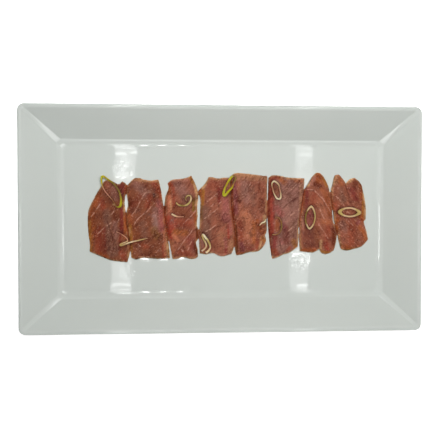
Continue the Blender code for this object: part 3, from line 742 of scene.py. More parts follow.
SLICES["tuna_slice_8"] = {
    "base": "rose", "grain": -48.0,
    "washes": [
        ("tan", 0.85, 2.1, [(105, 40), (103.8, 33)]),
        ("orange", 0.7, 2.2, [(107, 36), (109, 32)]),
        ("tan", 0.6, 1.1, [(101.4, 30), (101.4, 18)]), ("rose", 0.8, 3.3, [(104, 27), (104, 16)]),
        ("grey", 0.75, 3.4, [(109, 25), (111, 17)]), ("sand", 0.8, 1.4, [(119, 37), (117, 34.4)]),
        ("umber", 0.7, 2.6, [(121, 33), (122, 29)]), ("wine", 0.7, 3.2, [(119, 26), (122, 19)]),
        ("blush", 0.8, 1.2, [(124, 29.4), (126.4, 25.6)]),
        ("rust", 0.8, 2.2, [(127, 29), (128, 20)]),
        ("sand", 0.9, 1.6, [(130.4, 23), (131.8, 12), (131.6, 0)]),
        ("ochre", 0.85, 1.2, [(129.4, 16), (129, 2)]), ("rust", 0.8, 2.1, [(127, 3), (129, -2)]),
        ("plum", 0.7, 1.9, [(125.6, -2), (124.4, -4)]),
        ("brick", 0.7, 2.2, [(103, 14), (105, 4)]), ("rust", 0.8, 2.1, [(106, 0), (105, -8)]),
        ("mauve", 0.65, 3.3, [(110, -4), (113, -10)]),
        ("brick", 0.5, 4.2, [(119, -8), (118, -22)]),
        # painted shadow near the left edge
        ("umber", 0.85, 1.2, [(105.4, -11), (106.4, -21)]),
        ("orange", 0.75, 2.3, [(127, -8), (131, -15), (132, -19)]),
        ("ember", 0.6, 0.9, [(121.6, -24), (124, -25)]),
        ("rust", 0.8, 2.2, [(109, -25), (120, -27)]),
        ("ochre", 0.75, 1.0, [(112, -28.6), (124, -27.4)]),
        ("maroon", 0.4, 3.0, [(114, 2), (120, -2)])],
    "sinews": [[(103.8, 21.3), (108, 17), (112.1, 12)], [(113.3, 0.2), (120.5, -6.8)],
               [(105.6, -3.8), (111, -6.8)], [(105, 29), (108, 27)], [(114, 7), (118, 4.6)]],
    "creases": [[(113, 32), (114.4, 26), (116.8, 19), (118.6, 11.4)], [(122, 21), (125, 15)],
                [(110.6, -4), (113, -7)]],
}
print(sum(len(form["washes"]) for form in SLICES.values()), "washes in all")


# %% [markdown]
# The copy of the solid comes next. Merging its doubles turns loose triangles into one skin. A
# voxel Remesh then gives cells of less than half a millimetre everywhere, which a Smooth
# modifier relaxes. A Subdivision Surface would do for plain forms, but its cells follow the
# few long faces of the solid, and the fine relief needs even ones.

# %% Tuna: an even skin from a solid
CELL = 0.42
SMOOTH_PASSES = 6


def apply_modifier(piece, kind, **values):
    """Add a modifier, set it and apply it."""
    modifier = piece.modifiers.new(kind.lower(), kind)
    for name, value in values.items():
        setattr(modifier, name, value)
    only(piece)
    bpy.ops.object.modifier_apply(modifier=modifier.name)


def merged_copy(node, name):
    """A separate, merged copy of a solid."""
    piece = bpy.data.objects.new(name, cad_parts[node].data.copy())
    bpy.context.scene.collection.objects.link(piece)
    only(piece)
    bpy.ops.object.mode_set(mode="EDIT")
    bpy.ops.mesh.select_all(action="SELECT")
    bpy.ops.mesh.remove_doubles(threshold=0.01 * MM)
    bpy.ops.mesh.tris_convert_to_quads()
    bpy.ops.object.mode_set(mode="OBJECT")
    return piece


def outline_of(piece):
    """The slice's outline in order: the edges that only one face of the underside has."""
    owners = Counter(edge for face in piece.data.polygons if face.normal.z < -0.9
                     for edge in face.edge_keys)
    beside = defaultdict(list)
    for (one, other), count in owners.items():
        if count == 1:
            beside[one].append(other)
            beside[other].append(one)
    order = [next(iter(beside))]
    while len(order) < len(beside):
        order.append(next(v for v in beside[order[-1]] if v not in order[-2:]))
    return np.array([piece.data.vertices[i].co[:2] for i in order]) / MM


def vertices_of(piece):
    places = np.empty(len(piece.data.vertices) * 3)
    piece.data.vertices.foreach_get("co", places)
    return places.reshape(-1, 3) / MM


def normals_of(piece):
    normals = np.empty(len(piece.data.vertices) * 3)
    piece.data.vertices.foreach_get("normal", normals)
    return normals.reshape(-1, 3)


print("cells of", CELL, "mm, relaxed", SMOOTH_PASSES, "times")


# %% [markdown]
# ### Measuring with arrays
#
# There are about twenty thousand vertices in a slice, so the rules below work on all of them at
# once with numpy. distance_to_line gives each vertex its distance to a bent line, which
# smooth_step and bell turn into a soft edge or a soft line. noise_at gives it a smooth random
# value that is the same on every run.

# %% Tuna: distances and noise
def smooth_step(low, high, values):
    t = np.clip((values - low) / (high - low), 0, 1)
    return t * t * (3 - 2 * t)


def bell(away, width):
    """1 on a line, fading to both sides of it."""
    return np.exp(-((away / width) ** 2))


def distance_to_line(places, line, closed=False):
    """Each place's distance to a bent line, and how far along the line it lies, from 0 to 1."""
    corners = np.array(line, float)
    ends = np.roll(corners, -1, axis=0) if closed else corners[1:]
    starts = corners if closed else corners[:-1]
    best = np.full(len(places), np.inf)
    share = np.zeros(len(places))
    for i, (start, end) in enumerate(zip(starts, ends)):
        way = end - start
        t = np.clip((places - start) @ way / max(way @ way, 1e-9), 0, 1)
        away = np.linalg.norm(places - start - t[:, None] * way, axis=1)
        nearer = away < best
        best = np.where(nearer, away, best)
        share = np.where(nearer, (i + t) / len(starts), share)
    return best, share


def noise_at(places, size, seed, turn=0.0, stretch=1.0):
    """Smooth noise from -1 to 1 with lumps of this size, drawn out along an angle."""
    c, s = math.cos(math.radians(turn)), math.sin(math.radians(turn))
    along = (places[:, 0] * c + places[:, 1] * s) / (size * stretch)
    across = (places[:, 1] * c - places[:, 0] * s) / size
    return np.array([noise.noise((a, b, seed)) for a, b in zip(along, across)])


print("from (3, 4) to the x axis:", distance_to_line(np.array([[3.0, 4.0]]), [(0, 0), (9, 0)])[0])


# %% [markdown]
# ### Closing the seams
#
# The solids keep a small gap between slices, so that none runs into the next. On the dish the
# soft flesh has spread until most of the slices touch. reach_out moves only the vertices of a
# slice's side: where the next slice is near, they go halfway to it, and elsewhere a little, by
# noise, so that the cut looks torn and not sawn.

# %% Tuna: the rule for the sides
SEAM = 1.15
RAGGED = 0.22


def distance_to_others(places, others):
    """Each place's distance to the nearest of the other slices."""
    return np.min([distance_to_line(places, other, closed=True)[0] for other in others], axis=0)


def reach_out(spots, normals, edge, gap, seed):
    """Move the side of a slice outwards, to meet its neighbours."""
    flat = normals[:, :2] / np.maximum(np.linalg.norm(normals[:, :2], axis=1), 1e-6)[:, None]
    side = smooth_step(0.25, 0.75, np.linalg.norm(normals[:, :2], axis=1))
    side *= 1 - smooth_step(0.5, 1.1, edge)
    push = np.where(gap < SEAM, 0.5 * gap, RAGGED * (1 + noise_at(spots[:, :2], 1.7, seed)))
    spots[:, :2] += flat * (push * side)[:, None]


print("gaps under", SEAM, "mm close, other sides move by about", RAGGED, "mm")


# %% [markdown]
# ### What the rules look at
#
# Paint and relief share their patterns, which is what makes a fibre both darker and lower. For
# each vertex there is its distance to the slice's edge and to the next slice, and noise of
# several sizes. The noise is drawn out along the grain, as muscle fibres are. The nearest spring
# onion is found with a KD tree, which is much quicker than measuring to every point of it.

# %% Tuna: the patterns of one slice
onion_places = [(vertex.co.x / MM, vertex.co.y / MM, 0)
                for node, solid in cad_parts.items() if node.startswith("onion")
                for vertex in solid.data.vertices]
onion_tree = KDTree(len(onion_places))
for number, place in enumerate(onion_places):
    onion_tree.insert(place, number)
onion_tree.balance()


def patterns_of(places, normals, outline, others, form, seed):
    """The distances and noises that all rules for one slice share."""
    seen = SimpleNamespace(grain=form["grain"])
    seen.upper = smooth_step(0.15, 0.6, normals[:, 2])
    seen.side = 1 - smooth_step(0.1, 0.8, normals[:, 2])
    seen.edge, _ = distance_to_line(places, outline, closed=True)
    seen.gap = distance_to_others(places, others)
    seen.onion = np.array([onion_tree.find((x, y, 0))[2] for x, y in places])
    seen.broad = noise_at(places, 7.0, seed)
    seen.torn = noise_at(places, 2.0, seed + 9, seen.grain, 3.4)
    seen.fibre = noise_at(places, 1.0, seed + 20, seen.grain, 6.0)
    seen.mottle = noise_at(places, 1.1, seed + 31, seen.grain, 1.8)
    seen.fleck = noise_at(places, 0.8, seed + 47)
    seen.jitter = np.c_[seen.torn, seen.mottle]
    folds = noise_at(places + 0.8 * seen.jitter, 1.8, seed + 70, seen.grain, 3.0)
    seen.wrinkle = smooth_step(0.72, 0.95, 1 - np.abs(folds))
    seen.wrinkle *= smooth_step(-0.1, 0.3, seen.torn - seen.broad)
    return seen


print(len(onion_places), "points of spring onion to shade round")


# %% [markdown]
# ### Painting a slice
#
# Washes are laid over the base tone with edges torn by noise. The rim gets the sandy tone of thin
# flesh that light shines through. The cut sides turn away from the lamp, so they are painted sand
# and lighter, which is painted light. The seams between slices get a warm tone, painted lighter
# against the shade that falls into them. Then fibres and mottling lighten and darken it all, the
# wrinkles get painted shade in their furrows, and specks go on last. Painting each vertex was
# chosen over an image, because the cells are finer than any detail that shows.

# %% Tuna: the rules for paint
WASH_TEAR = 0.26
FLESH_LEVEL = np.array((0.88, 0.86, 0.735))
RIM_WIDTH = 1.2
SEAM_SHADE = 0.45


def lay(paint, tone, weight):
    """One tone laid over the paint, with its own weight at each vertex."""
    return paint + (TONES[tone] - paint) * np.clip(weight, 0, 1)[:, None]


def paint_tones(places, form, seen):
    """The base tone, the washes, the sandy rim, and painted light on the cut sides and in the seams."""
    paint = np.tile(TONES[form["base"]], (len(places), 1))
    rim = bell(seen.edge, RIM_WIDTH) * np.clip(0.7 + 0.8 * seen.torn + 0.3 * seen.mottle, 0, 1)
    paint = lay(paint, "sand", 0.9 * rim * smooth_step(1.2, 2.0, seen.gap))
    tear = WASH_TEAR * (seen.torn + 0.5 * seen.broad + 0.5 * seen.mottle)
    for tone, strength, half, line in form["washes"]:
        away, _ = distance_to_line(places + 0.35 * seen.jitter, line)
        paint = lay(paint, tone, strength * (1 - smooth_step(0.25, 1.5, away / half + tear)))
    # Painted light: the cut sides turn away from the lamp, so they are painted lighter, in the sand tone of
    # thin flesh.
    sides_sand_and_painted_light = seen.side * smooth_step(1.0, 1.8, seen.gap)
    paint = lay(paint, "sand", 0.7 * sides_sand_and_painted_light * np.clip(0.8 + seen.torn, 0, 1))
    paint *= (1 + 0.7 * sides_sand_and_painted_light)[:, None]
    # Painted light: in the seams between slices the paint is warmed and lightened against the shade that
    # falls there.
    seam = 1 - smooth_step(0.7, 1.9, seen.gap)
    return lay(paint, "rust", SEAM_SHADE * seam) * (1 + 0.3 * seam)[:, None]


def paint_fine(paint, seen):
    """Fibres and mottling, then painted shade in the wrinkles, dark specks and pale ones."""
    uneven = 0.13 * seen.broad + 0.25 * seen.fibre + 0.20 * seen.mottle + 0.18 * seen.torn
    paint = paint * FLESH_LEVEL * (1 + uneven)[:, None]
    # Painted shade: the wrinkles' furrows are darkened.
    paint = lay(paint, "shadow", 0.5 * seen.wrinkle)
    paint = lay(paint, "shadow", 0.55 * smooth_step(0.26, 0.6, seen.fleck - 0.3 * seen.broad))
    return lay(paint, "sinew", 0.38 * smooth_step(0.34, 0.62, 0.2 * seen.torn - seen.fleck))


print("flesh is", FLESH_LEVEL, "times as light as its tones")


# %% [markdown]
# ### Sinews and creases
#
# A sinew is a ridge and a pale line at once, and a crease is a furrow darkened with painted
# shade. Both fade across their width like a bell curve, and both wander a little by noise. A sinew
# fades at its two ends, and a crease gets weaker on its way in from the edge.

# %% Tuna: the rules for sinews and creases
SINEW_WIDTH = 0.40
CREASE_WIDTH = 0.55


def draw_sinews(places, paint, height, form, seen):
    """Pale ridges, in the paint and in the relief."""
    for line in form["sinews"]:
        away, share = distance_to_line(places + 0.45 * seen.jitter, line)
        ends = smooth_step(0, 0.12, share) * smooth_step(0, 0.12, 1 - share)
        mark = bell(away, SINEW_WIDTH) * np.clip(0.7 + 1.3 * seen.mottle, 0, 1) * ends
        paint, height = lay(paint, "sinew", 0.75 * mark), height + 0.12 * mark
    return paint, height


def draw_creases(places, paint, height, form, seen):
    """Furrows in the relief, darkened with painted shade in the paint."""
    for line in form["creases"]:
        away, share = distance_to_line(places + 0.4 * seen.jitter, line)
        mark = bell(away, CREASE_WIDTH) * (1 - 0.6 * share)
        # Painted shade: the crease is darkened along its furrow.
        paint, height = lay(paint, "shadow", 0.75 * mark), height - 0.3 * mark
    return paint, height


print("sinews", SINEW_WIDTH, "mm and creases", CREASE_WIDTH, "mm from middle to fading")


# %% [markdown]
# ### Dressing a slice
#
# dress_slice runs all the rules and puts their results on the mesh. Round the spring onion the
# fish is wet and shaded, so the paint darkens there too. The relief only moves the upper side,
# and fades out towards the rim, so the underside stays where the solid has it.

# %% Tuna: dressing one slice
ONION_SHADE = 0.45
ONION_REACH = 1.3


def store_paint(piece, paint):
    """Keep one colour for each vertex, as an attribute that a material can read."""
    tone = piece.data.attributes.new("tone", "FLOAT_COLOR", "POINT")
    rgba = np.c_[np.clip(paint, 0, 1), np.ones(len(paint))]
    tone.data.foreach_set("color", rgba.ravel())
    piece.data.update()


def dress_slice(piece, outline, others, form, seed):
    """Move and paint the vertices of one slice."""
    spots, normals = vertices_of(piece), normals_of(piece)
    places = spots[:, :2].copy()
    seen = patterns_of(places, normals, outline, others, form, seed)
    paint = paint_fine(paint_tones(places, form, seen), seen)
    height = (0.16 * seen.broad + 0.07 * seen.torn + 0.05 * seen.fibre + 0.05 * seen.mottle
              - 0.12 * seen.wrinkle)
    paint, height = draw_sinews(places, paint, height, form, seen)
    paint, height = draw_creases(places, paint, height, form, seen)
    paint *= (1 - ONION_SHADE * bell(seen.onion, ONION_REACH))[:, None]
    spots[:, 2] += height * seen.upper * smooth_step(0.3, 2.5, seen.edge)
    reach_out(spots, normals, seen.edge, seen.gap, seed + 60)
    piece.data.vertices.foreach_set("co", (spots * MM).ravel())
    store_paint(piece, paint)


print("paint is", ONION_SHADE, "darker under the spring onion, over", ONION_REACH, "mm")


# %% [markdown]
# ### The flesh
#
# The material reads the painted tone and adds what is too fine to paint: a speckle finer than
# the cells, a wet film that mirrors the lamps, and a little light that goes in and comes out
# again nearby, which Blender calls subsurface scattering. Its scale stays under a millimetre,
# because more would blur the sinews away.

# %% Tuna: the flesh material
WETTEST = 0.3

flesh, tree, shader = new_material("tuna_flesh", roughness=0.42, specular_ior_level=0.05,
                                   subsurface_weight=0.08, subsurface_scale=0.6 * MM,
                                   coat_roughness=0.1)
shader.inputs["Subsurface Radius"].default_value = (1.0, 0.35, 0.2)
coords = add_node(tree, "ShaderNodeTexCoord").outputs["Object"]
tone = add_node(tree, "ShaderNodeAttribute", attribute_name="tone")
fine = add_speckle(tree, coords, scale=1400.0, strength=0.65)
speckled = tinted(tree, tone.outputs["Color"], fine.outputs["Factor"])
link(tree, speckled, shader.inputs["Base Color"])
damp = add_speckle(tree, coords, scale=120.0, strength=1.0)
film = add_ramp(tree, damp.outputs["Noise"], 0.58, 0.72, 0.0, WETTEST)
link(tree, film, shader.inputs["Coat Weight"])
grain = add_speckle(tree, coords, scale=900.0, strength=1.0)
add_bump(tree, shader, grain.outputs["Noise"], strength=0.5, distance=0.25)
print(flesh.name, len(flesh.node_tree.nodes), "nodes")


# %% [markdown]
# Each slice is then made, dressed and served. The seed comes from its place in the row, so the
# slices differ from each other and still come out the same every time.

# %% Tuna: make the slices
slice_pieces, outlines = {}, {}
for node in SLICES:
    piece = merged_copy(node, node.replace("tuna_slice", "flesh_slice"))
    slice_pieces[node], outlines[node] = piece, outline_of(piece)
for order, (node, piece) in enumerate(slice_pieces.items()):
    apply_modifier(piece, "REMESH", mode="VOXEL", voxel_size=CELL * MM, use_smooth_shade=True)
    apply_modifier(piece, "SMOOTH", factor=0.5, iterations=SMOOTH_PASSES)
    others = [outline for other, outline in outlines.items() if other != node]
    dress_slice(piece, outlines[node], others, SLICES[node], 3.7 * (order + 1))
    only(piece)
    bpy.ops.object.shade_smooth()
    serve(piece, node, flesh)
    print(piece.name, faces_of(piece), "faces")


# %% [markdown]
# ## The spring onion
#
# A spring onion is a tube of thin layers. Cut obliquely it gives pointed ovals, and where the
# rings have come apart it gives loops, hooks and strips. All of them are one band, standing on
# its edge or lying flat, so each piece is a path with a section drawn along it. Every point of
# a path has its own width and tone, because the green fades to white along the stem and the
# bands taper.

# %% Spring onion: the tones and the pieces
LEAVES = {
    "lime": srgb(160, 150, 4), "leaf": srgb(150, 128, 6), "olive": srgb(120, 98, 30),
    "straw": srgb(174, 150, 88), "cream": srgb(194, 164, 122), "ivory": srgb(208, 188, 152),
    "blush": srgb(178, 122, 92), "bark": srgb(140, 90, 40),
}
ONIONS = {
    "onion_ring_1": {"closed": True, "height": 1.5, "points": [
        (-107.6, 38.4, 1.9, "lime"), (-102.6, 35.4, 1.5, "leaf"), (-97.4, 31.4, 1.3, "olive"),
        (-93.0, 24.8, 1.4, "olive"), (-91.3, 18.0, 1.7, "leaf"), (-91.9, 12.0, 2.2, "lime"),
        (-95.4, 11.2, 0.7, "olive"), (-98.4, 16.4, 0.45, "bark"), (-102.2, 21.0, 0.7, "blush"),
        (-106.6, 27.0, 0.9, "blush"), (-108.6, 34.0, 1.6, "lime")]},
    "onion_ring_2": {"closed": True, "height": 1.6, "points": [
        (7.8, 38.1, 2.0, "lime"), (5.9, 35.4, 2.0, "lime"), (3.8, 32.0, 1.8, "leaf"),
        (1.9, 28.0, 1.8, "leaf"), (0.9, 24.7, 2.1, "lime"), (0.8, 21.8, 2.6, "lime"),
        (2.4, 21.8, 2.2, "lime"), (4.8, 24.7, 2.1, "lime"), (6.9, 26.9, 1.8, "lime"),
        (8.6, 29.2, 1.4, "leaf"), (9.9, 32.1, 1.0, "bark"), (11.1, 35.1, 0.9, "olive"),
        (11.5, 37.2, 0.9, "olive"), (10.1, 38.5, 0.8, "olive")]},
    "onion_ring_3": {"closed": True, "height": 1.6, "points": [
        (46.6, 34.2, 1.4, "ivory"), (44.5, 31.6, 1.1, "cream"), (45.4, 27.0, 0.8, "blush"),
        (46.7, 22.6, 0.9, "cream"), (49.4, 18.6, 1.2, "ivory"), (52.2, 18.7, 1.4, "ivory"),
        (52.7, 22.6, 1.0, "cream"), (51.6, 27.4, 0.9, "blush"), (50.5, 31.4, 1.1, "cream")]},
    "onion_strip_1": {"closed": False, "height": 1.1, "points": [
        (-95.8, -11.2, 0.5, "blush"), (-91.4, -13.3, 0.8, "blush"), (-88.0, -15.6, 0.9, "blush"),
        (-85.7, -18.0, 0.9, "blush"), (-85.3, -19.0, 0.9, "blush"), (-86.4, -20.0, 0.9, "cream"),
        (-89.0, -21.2, 1.0, "cream"), (-91.6, -22.3, 1.2, "straw"), (-92.2, -23.2, 1.3, "straw"),
        (-90.6, -23.4, 1.3, "straw"), (-87.2, -22.3, 1.2, "cream"), (-82.8, -20.7, 1.2, "ivory"),
        (-78.0, -19.5, 1.1, "cream"), (-72.7, -18.3, 0.9, "straw"), (-67.9, -17.2, 0.5, "blush")]},
    "onion_strip_2": {"closed": False, "height": 1.0, "points": [
        (-46.2, 4.6, 1.2, "ivory"), (-43.0, 2.9, 1.5, "cream"), (-39.4, 2.1, 1.0, "blush"),
        (-35.4, 2.2, 0.6, "blush")]},
    "onion_strip_3": {"closed": False, "height": 1.5, "points": [
        (-15.6, -30.5, 2.0, "ivory"), (-13.1, -28.7, 1.7, "cream"), (-11.5, -25.8, 1.5, "cream"),
        (-11.9, -22.9, 1.5, "straw"), (-13.5, -19.7, 1.7, "straw"), (-15.8, -16.6, 1.8, "ivory"),
        (-17.7, -14.1, 1.6, "ivory"), (-18.6, -15.0, 1.5, "straw"), (-17.4, -18.3, 1.5, "straw"),
        (-15.6, -21.6, 1.3, "cream"), (-15.1, -24.3, 1.3, "cream"), (-16.3, -26.7, 1.3, "cream"),
        (-19.2, -28.9, 1.5, "ivory")]},
    "onion_strip_4": {"closed": False, "height": 1.0, "points": [
        (33.4, -5.8, 0.6, "cream"), (35.6, -3.6, 1.1, "ivory"), (38.0, -2.6, 1.1, "ivory"),
        (39.4, -0.4, 0.9, "ivory")]},
    "onion_hook_1": {"closed": False, "height": 1.3, "points": [
        (-42.0, 14.8, 0.8, "straw"), (-40.0, 12.8, 1.2, "straw"), (-36.6, 12.1, 1.3, "olive"),
        (-33.2, 12.6, 1.4, "straw"), (-30.4, 14.6, 1.5, "straw"), (-28.8, 17.8, 1.4, "cream"),
        (-29.4, 20.8, 1.2, "straw"), (-31.8, 21.0, 1.0, "straw"), (-33.6, 18.8, 1.0, "olive"),
        (-33.0, 16.2, 0.6, "blush")]},
    "onion_hook_2": {"closed": False, "height": 0.9, "points": [
        (47.6, 1.6, 0.5, "bark"), (50.6, 1.4, 0.8, "bark"), (53.0, -2.0, 0.9, "bark"),
        (53.5, -7.0, 0.9, "olive"), (52.2, -12.0, 1.0, "bark"), (48.6, -14.2, 0.9, "bark"),
        (45.2, -14.2, 0.6, "straw")]},
}
print(len(ONIONS), "bands with a path of their own,", len(LEAVES), "leaf tones")


# %% [markdown]
# The pointed ovals need no list of points: an ellipse with its sides flattened gives them. Wall
# and tone have one value for each tip and each side, in the order in which the ring runs round.

# %% Spring onion: oval rings
OVALS = {
    # walls and tones: first tip, one side, second tip, other side
    "onion_ring_4": {"middle": (79.9, 1.2), "half": (10.1, 4.35), "turn": 86.0, "height": 1.6,
                     "walls": (1.8, 1.0, 1.5, 1.0), "tones": ("cream", "olive", "cream", "straw")},
    "onion_ring_5": {"middle": (116.0, 6.1), "half": (9.2, 3.9), "turn": -2.0, "height": 1.6,
                     "walls": (3.0, 1.4, 3.0, 1.4), "tones": ("straw", "cream", "straw", "cream")},
}
OVAL_STEPS = 24
FLATTENING = 1.45


def oval_points(form):
    """Points with width and tone round a pointed oval ring."""
    turn = math.radians(form["turn"])
    walls = form["walls"]
    points = []
    for step in range(OVAL_STEPS):
        angle = 2 * math.pi * step / OVAL_STEPS
        c, s = math.cos(angle), math.sin(angle)
        x = form["half"][0] * c
        y = form["half"][1] * math.copysign(abs(s) ** FLATTENING, s)
        tip, side = walls[0 if c > 0 else 2], walls[1 if s > 0 else 3]
        wall = side + (tip - side) * c ** 4
        tone = form["tones"][round(4 * step / OVAL_STEPS) % 4]
        points.append((form["middle"][0] + x * math.cos(turn) - y * math.sin(turn),
                       form["middle"][1] + x * math.sin(turn) + y * math.cos(turn), wall, tone))
    return points


for node, form in OVALS.items():
    ONIONS[node] = {"closed": True, "height": form["height"], "points": oval_points(form)}
print(len(ONIONS), "pieces of spring onion")


# %% [markdown]
# A path has few points, so the band needs many more between them. A Catmull-Rom spline runs
# through all given points and is smooth at each, and it can carry the width and the tone along
# with the place. The height above the fish is read from the piece's solid, so that the band
# keeps lying where the solid lies.

# %% Spring onion: a smooth path over the fish
PER_SPAN = 6


def smooth_rows(rows, closed):
    """A Catmull-Rom spline through rows of numbers: place, width and tone together."""
    rows = np.array(rows, float)
    if closed:
        rows = np.vstack([rows[-1], rows, rows[:2]])
    else:
        rows = np.vstack([2 * rows[0] - rows[1], rows, 2 * rows[-1] - rows[-2]])
    made = []
    for a, b, c, d in zip(rows, rows[1:], rows[2:], rows[3:]):
        for t in np.arange(PER_SPAN) / PER_SPAN:
            made.append(0.5 * (2 * b + (c - a) * t + (2 * a - 5 * b + 4 * c - d) * t ** 2
                               + (3 * b - a - 3 * c + d) * t ** 3))
    if not closed:
        made.append(rows[-2])
    return np.array(made)


def heights_on(node, places):
    """The middle height of a solid at each place, from its nearest vertices."""
    spots = vertices_of(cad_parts[node])
    found = []
    for place in places:
        away = np.linalg.norm(spots[:, :2] - place, axis=1)
        nearest = spots[away <= away.min() + 0.9, 2]
        found.append((nearest.min() + nearest.max()) / 2)
    return np.convolve(np.pad(found, 2, mode="edge"), np.ones(5) / 5, mode="valid")


print(PER_SPAN, "steps between two points of a path")


# %% [markdown]
# A band's section is the cut face of the layers: a rounded box with a shallow groove where two
# layers meet. It is drawn as a closed curve, and the path uses it as its bevel object, scaled by
# the point's radius. Converting the path makes it a mesh.

# %% Spring onion: the section and the bands
SECTION = [(0.0, 0.40), (0.13, 0.44), (0.3, 0.5), (0.42, 0.46), (0.5, 0.3), (0.47, -0.3),
           (0.38, -0.46), (0.2, -0.5), (-0.2, -0.5), (-0.38, -0.46), (-0.47, -0.3), (-0.5, 0.3),
           (-0.42, 0.46), (-0.3, 0.5), (-0.13, 0.44)]


def draw_section(wall, height):
    """A closed flat curve in the shape of the cut face."""
    bpy.ops.object.select_all(action="DESELECT")
    bpy.ops.curve.primitive_bezier_circle_add(radius=MM)
    section = bpy.context.object
    section.data.splines.clear()
    spline = section.data.splines.new("POLY")
    spline.points.add(len(SECTION) - 1)
    for point, (x, y) in zip(spline.points, SECTION):
        point.co = (x * wall * MM, y * height * MM, 0, 1)
    spline.use_cyclic_u = True
    return section


def make_band(node, form):
    """One piece of spring onion as a mesh."""
    rows = smooth_rows([(x, y, width, *LEAVES[tone]) for x, y, width, tone in form["points"]],
                       form["closed"])
    widest = rows[:, 2].max()
    section = draw_section(widest, form["height"])
    bpy.ops.object.select_all(action="DESELECT")
    bpy.ops.curve.primitive_nurbs_path_add(radius=MM)
    band = bpy.context.object
    band.name = node.replace("onion", "spring_onion")
    band.data.splines.clear()
    spline = band.data.splines.new("POLY")
    spline.points.add(len(rows) - 1)
    for point, row, height in zip(spline.points, rows, heights_on(node, rows[:, :2])):
        point.co = (row[0] * MM, row[1] * MM, height * MM, 1)
        point.radius = row[2] / widest
    spline.use_cyclic_u = form["closed"]
    band.data.twist_mode = "Z_UP"
    band.data.bevel_mode = "OBJECT"
    band.data.bevel_object = section
    band.data.use_fill_caps = True
    bpy.ops.object.convert(target="MESH")
    bpy.data.objects.remove(section)
    return band, rows


print("a section of", len(SECTION), "points")


# %% [markdown]
# ### Skin and tone
#
# The band is merged, its flat caps join the sides, and a light noise keeps it from looking
# extruded. Each vertex takes the tone of the nearest point of its path. The material is a
# crisp, moist plant skin: smoother than the fish, with a little light passing through.

# %% Spring onion: material and pieces
onion_skin, tree, shader = new_material("onion_skin", roughness=0.35, specular_ior_level=0.2,
                                        subsurface_weight=0.15, subsurface_scale=0.4 * MM)
coords = add_node(tree, "ShaderNodeTexCoord").outputs["Object"]
tone = add_node(tree, "ShaderNodeAttribute", attribute_name="tone")
veins = add_speckle(tree, coords, scale=900.0, strength=0.5)
veined = tinted(tree, tone.outputs["Color"], veins.outputs["Factor"])
link(tree, veined, shader.inputs["Base Color"])
add_bump(tree, shader, veins.outputs["Noise"], strength=0.3, distance=0.12)


def finish_band(band, rows, seed):
    """Merge, roughen and paint a band."""
    only(band)
    bpy.ops.object.mode_set(mode="EDIT")
    bpy.ops.mesh.select_all(action="SELECT")
    bpy.ops.mesh.remove_doubles(threshold=0.002 * MM)
    bpy.ops.mesh.normals_make_consistent(inside=False)
    bpy.ops.object.mode_set(mode="OBJECT")
    bpy.ops.object.transform_apply(location=True, rotation=True, scale=True)
    spots = vertices_of(band)
    nearest = np.array([np.argmin(np.hypot(*(rows[:, :2] - spot[:2]).T)) for spot in spots])
    shade = noise_at(spots[:, :2], 1.6, seed)
    paint = rows[nearest, 3:] * (1 + 0.18 * shade)[:, None]
    spots += normals_of(band) * (0.05 * shade)[:, None]
    band.data.vertices.foreach_set("co", (spots * MM).ravel())
    store_paint(band, paint)
    bpy.ops.object.shade_smooth()


for order, (node, form) in enumerate(ONIONS.items()):
    band, rows = make_band(node, form)
    finish_band(band, rows, 2.3 * (order + 1))
    serve(band, node, onion_skin)
    print(band.name, faces_of(band), "faces")


# %% [markdown]
# ## The table
#
# The table is a pale sheet that only catches a soft shadow. It glows faintly, as paper does on a
# light table, which keeps the shadow thin. One wide plane is enough for that.

# %% Table
bpy.ops.object.select_all(action="DESELECT")
bpy.ops.mesh.primitive_plane_add(size=6.0)
table = bpy.context.object
table.name = "table"
table_paper, tree, shader = new_material("table_paper", roughness=0.9)
shader.inputs["Base Color"].default_value = (0.95, 0.95, 0.95, 1.0)
shader.inputs["Emission Color"].default_value = (1.0, 1.0, 1.0, 1.0)
shader.inputs["Emission Strength"].default_value = 0.55
table.data.materials.append(table_paper)
print(table.name, round(table.dimensions.x, 2), "m wide")


# %% [markdown]
# ## The light of the room
#
# The room is a bright dome, strongest straight overhead, as under a white ceiling, so the floor
# of the platter is lighter than its walls. An even dome would be simpler, but then floor and
# walls would look alike.

# %% Sky dome
DOME_LOW = 0.035
DOME_HIGH = 0.13

world = bpy.data.worlds.new("room")
bpy.context.scene.world = world
world.use_nodes = True
tree = world.node_tree
background = tree.nodes["Background"]
direction = add_node(tree, "ShaderNodeTexCoord")
parts = add_node(tree, "ShaderNodeSeparateXYZ")
link(tree, direction.outputs["Generated"], parts.inputs[0])
rise = add_ramp(tree, parts.outputs["Z"], 0.0, 1.0, DOME_LOW, DOME_HIGH)
link(tree, rise, background.inputs["Strength"])
background.inputs["Color"].default_value = (1.0, 0.995, 1.0, 1.0)
bpy.context.scene.view_settings.view_transform = "Standard"
print("dome from", DOME_LOW, "at the horizon to", DOME_HIGH, "overhead")


# %% [markdown]
# ## The lamps in the glaze
#
# A glaze shows whatever hangs over it, so each reflection is placed by its lamp. The platter is
# a flat mirror: a light in the ceiling appears where the line from the camera, bent back at the
# glaze, meets the ceiling. Two dim panels make the soft columns beside the fish, and thin tubes
# just below them make the bright dashes. The spots make the three glints in front of the food,
# and the shines lie over the wet places, whose drops break them up. The strips and the far
# lamps stand where only rounded edges and wet flesh can catch them. All of these light nothing:
# they are seen in glossy surfaces only. One soft lamp gives the light itself, and isn't mirrored.

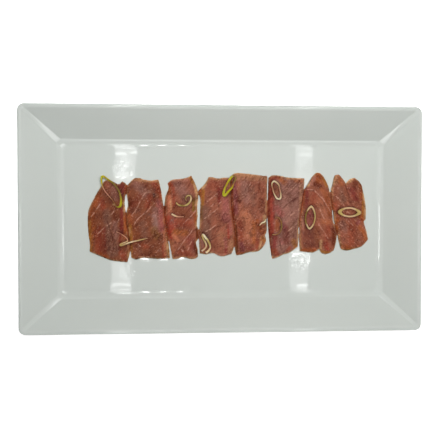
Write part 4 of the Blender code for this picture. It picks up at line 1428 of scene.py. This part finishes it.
# %% Lamps
CEILING = 2.5
BELOW = 2.48
LAMPS = [
    # name, middle x and y, height, size x and y in metres, turn, brightness of its surface
    ("panel_left", -0.417, -0.02, CEILING, 0.12, 1.3, -2.5, 3.4),
    ("panel_right", 0.604, -0.02, CEILING, 0.11, 1.3, -2.0, 2.8),
    ("tube_1", -0.396, 0.336, BELOW, 0.12, 0.012, 3.0, 8.0),
    ("tube_2", 0.622, 0.330, BELOW, 0.09, 0.016, 0.0, 4.0),
    ("tube_3", -0.430, -0.413, BELOW, 0.12, 0.012, -3.0, 6.5),
    ("tube_4", 0.606, -0.415, BELOW, 0.07, 0.014, 0.0, 9.0),
    ("spot_1", -0.294, -0.115, BELOW, 0.040, 0.30, 0.0, 22.0),
    ("spot_2", -0.195, -0.115, BELOW, 0.040, 0.30, 0.0, 22.0),
    ("spot_3", -0.093, -0.115, BELOW, 0.036, 0.30, 0.0, 18.0),
    ("shine_1", -0.417, 0.230, BELOW, 0.08, 0.06, 0.0, 20.0),
    ("shine_2", 0.594, -0.262, BELOW, 0.09, 0.06, 0.0, 14.0),
    ("shine_3", -0.410, -0.330, BELOW, 0.05, 0.05, 0.0, 8.0),
    ("shine_4", 0.622, 0.250, BELOW, 0.04, 0.06, 0.0, 5.0),
    ("strip_left", -1.35, 0.0, CEILING, 0.16, 2.2, 0.0, 1.8),
    ("strip_right", 1.35, 0.0, CEILING, 0.08, 2.2, 0.0, 2.4),
    ("strip_back", 0.1, 1.45, CEILING, 2.6, 0.2, 0.0, 4.5),
    ("strip_front", 0.1, -1.45, CEILING, 2.6, 0.2, 0.0, 4.5),
    ("far_back", 0.1, 3.5, CEILING, 4.0, 0.3, 0.0, 5.0),
    ("far_front", 0.1, -3.5, CEILING, 4.0, 0.3, 0.0, 5.0),
    ("soft_lamp", 0.046, 0.127, 0.64, 0.40, 0.40, 0.0, 10.2),
]
for name, x, y, height, size_x, size_y, turn, brightness in LAMPS:
    bpy.ops.object.light_add(type="AREA", location=(x, y, height),
                             rotation=(0.0, 0.0, math.radians(turn)))
    lamp = bpy.context.object
    lamp.name = name
    lamp.data.shape = "RECTANGLE"
    lamp.data.size = size_x
    lamp.data.size_y = size_y
    lamp.data.energy = brightness * math.pi * size_x * size_y
    lamp.visible_camera = False
    lamp.visible_glossy = name != "soft_lamp"
    lamp.visible_diffuse = name == "soft_lamp"
print(len(LAMPS), "lamps")
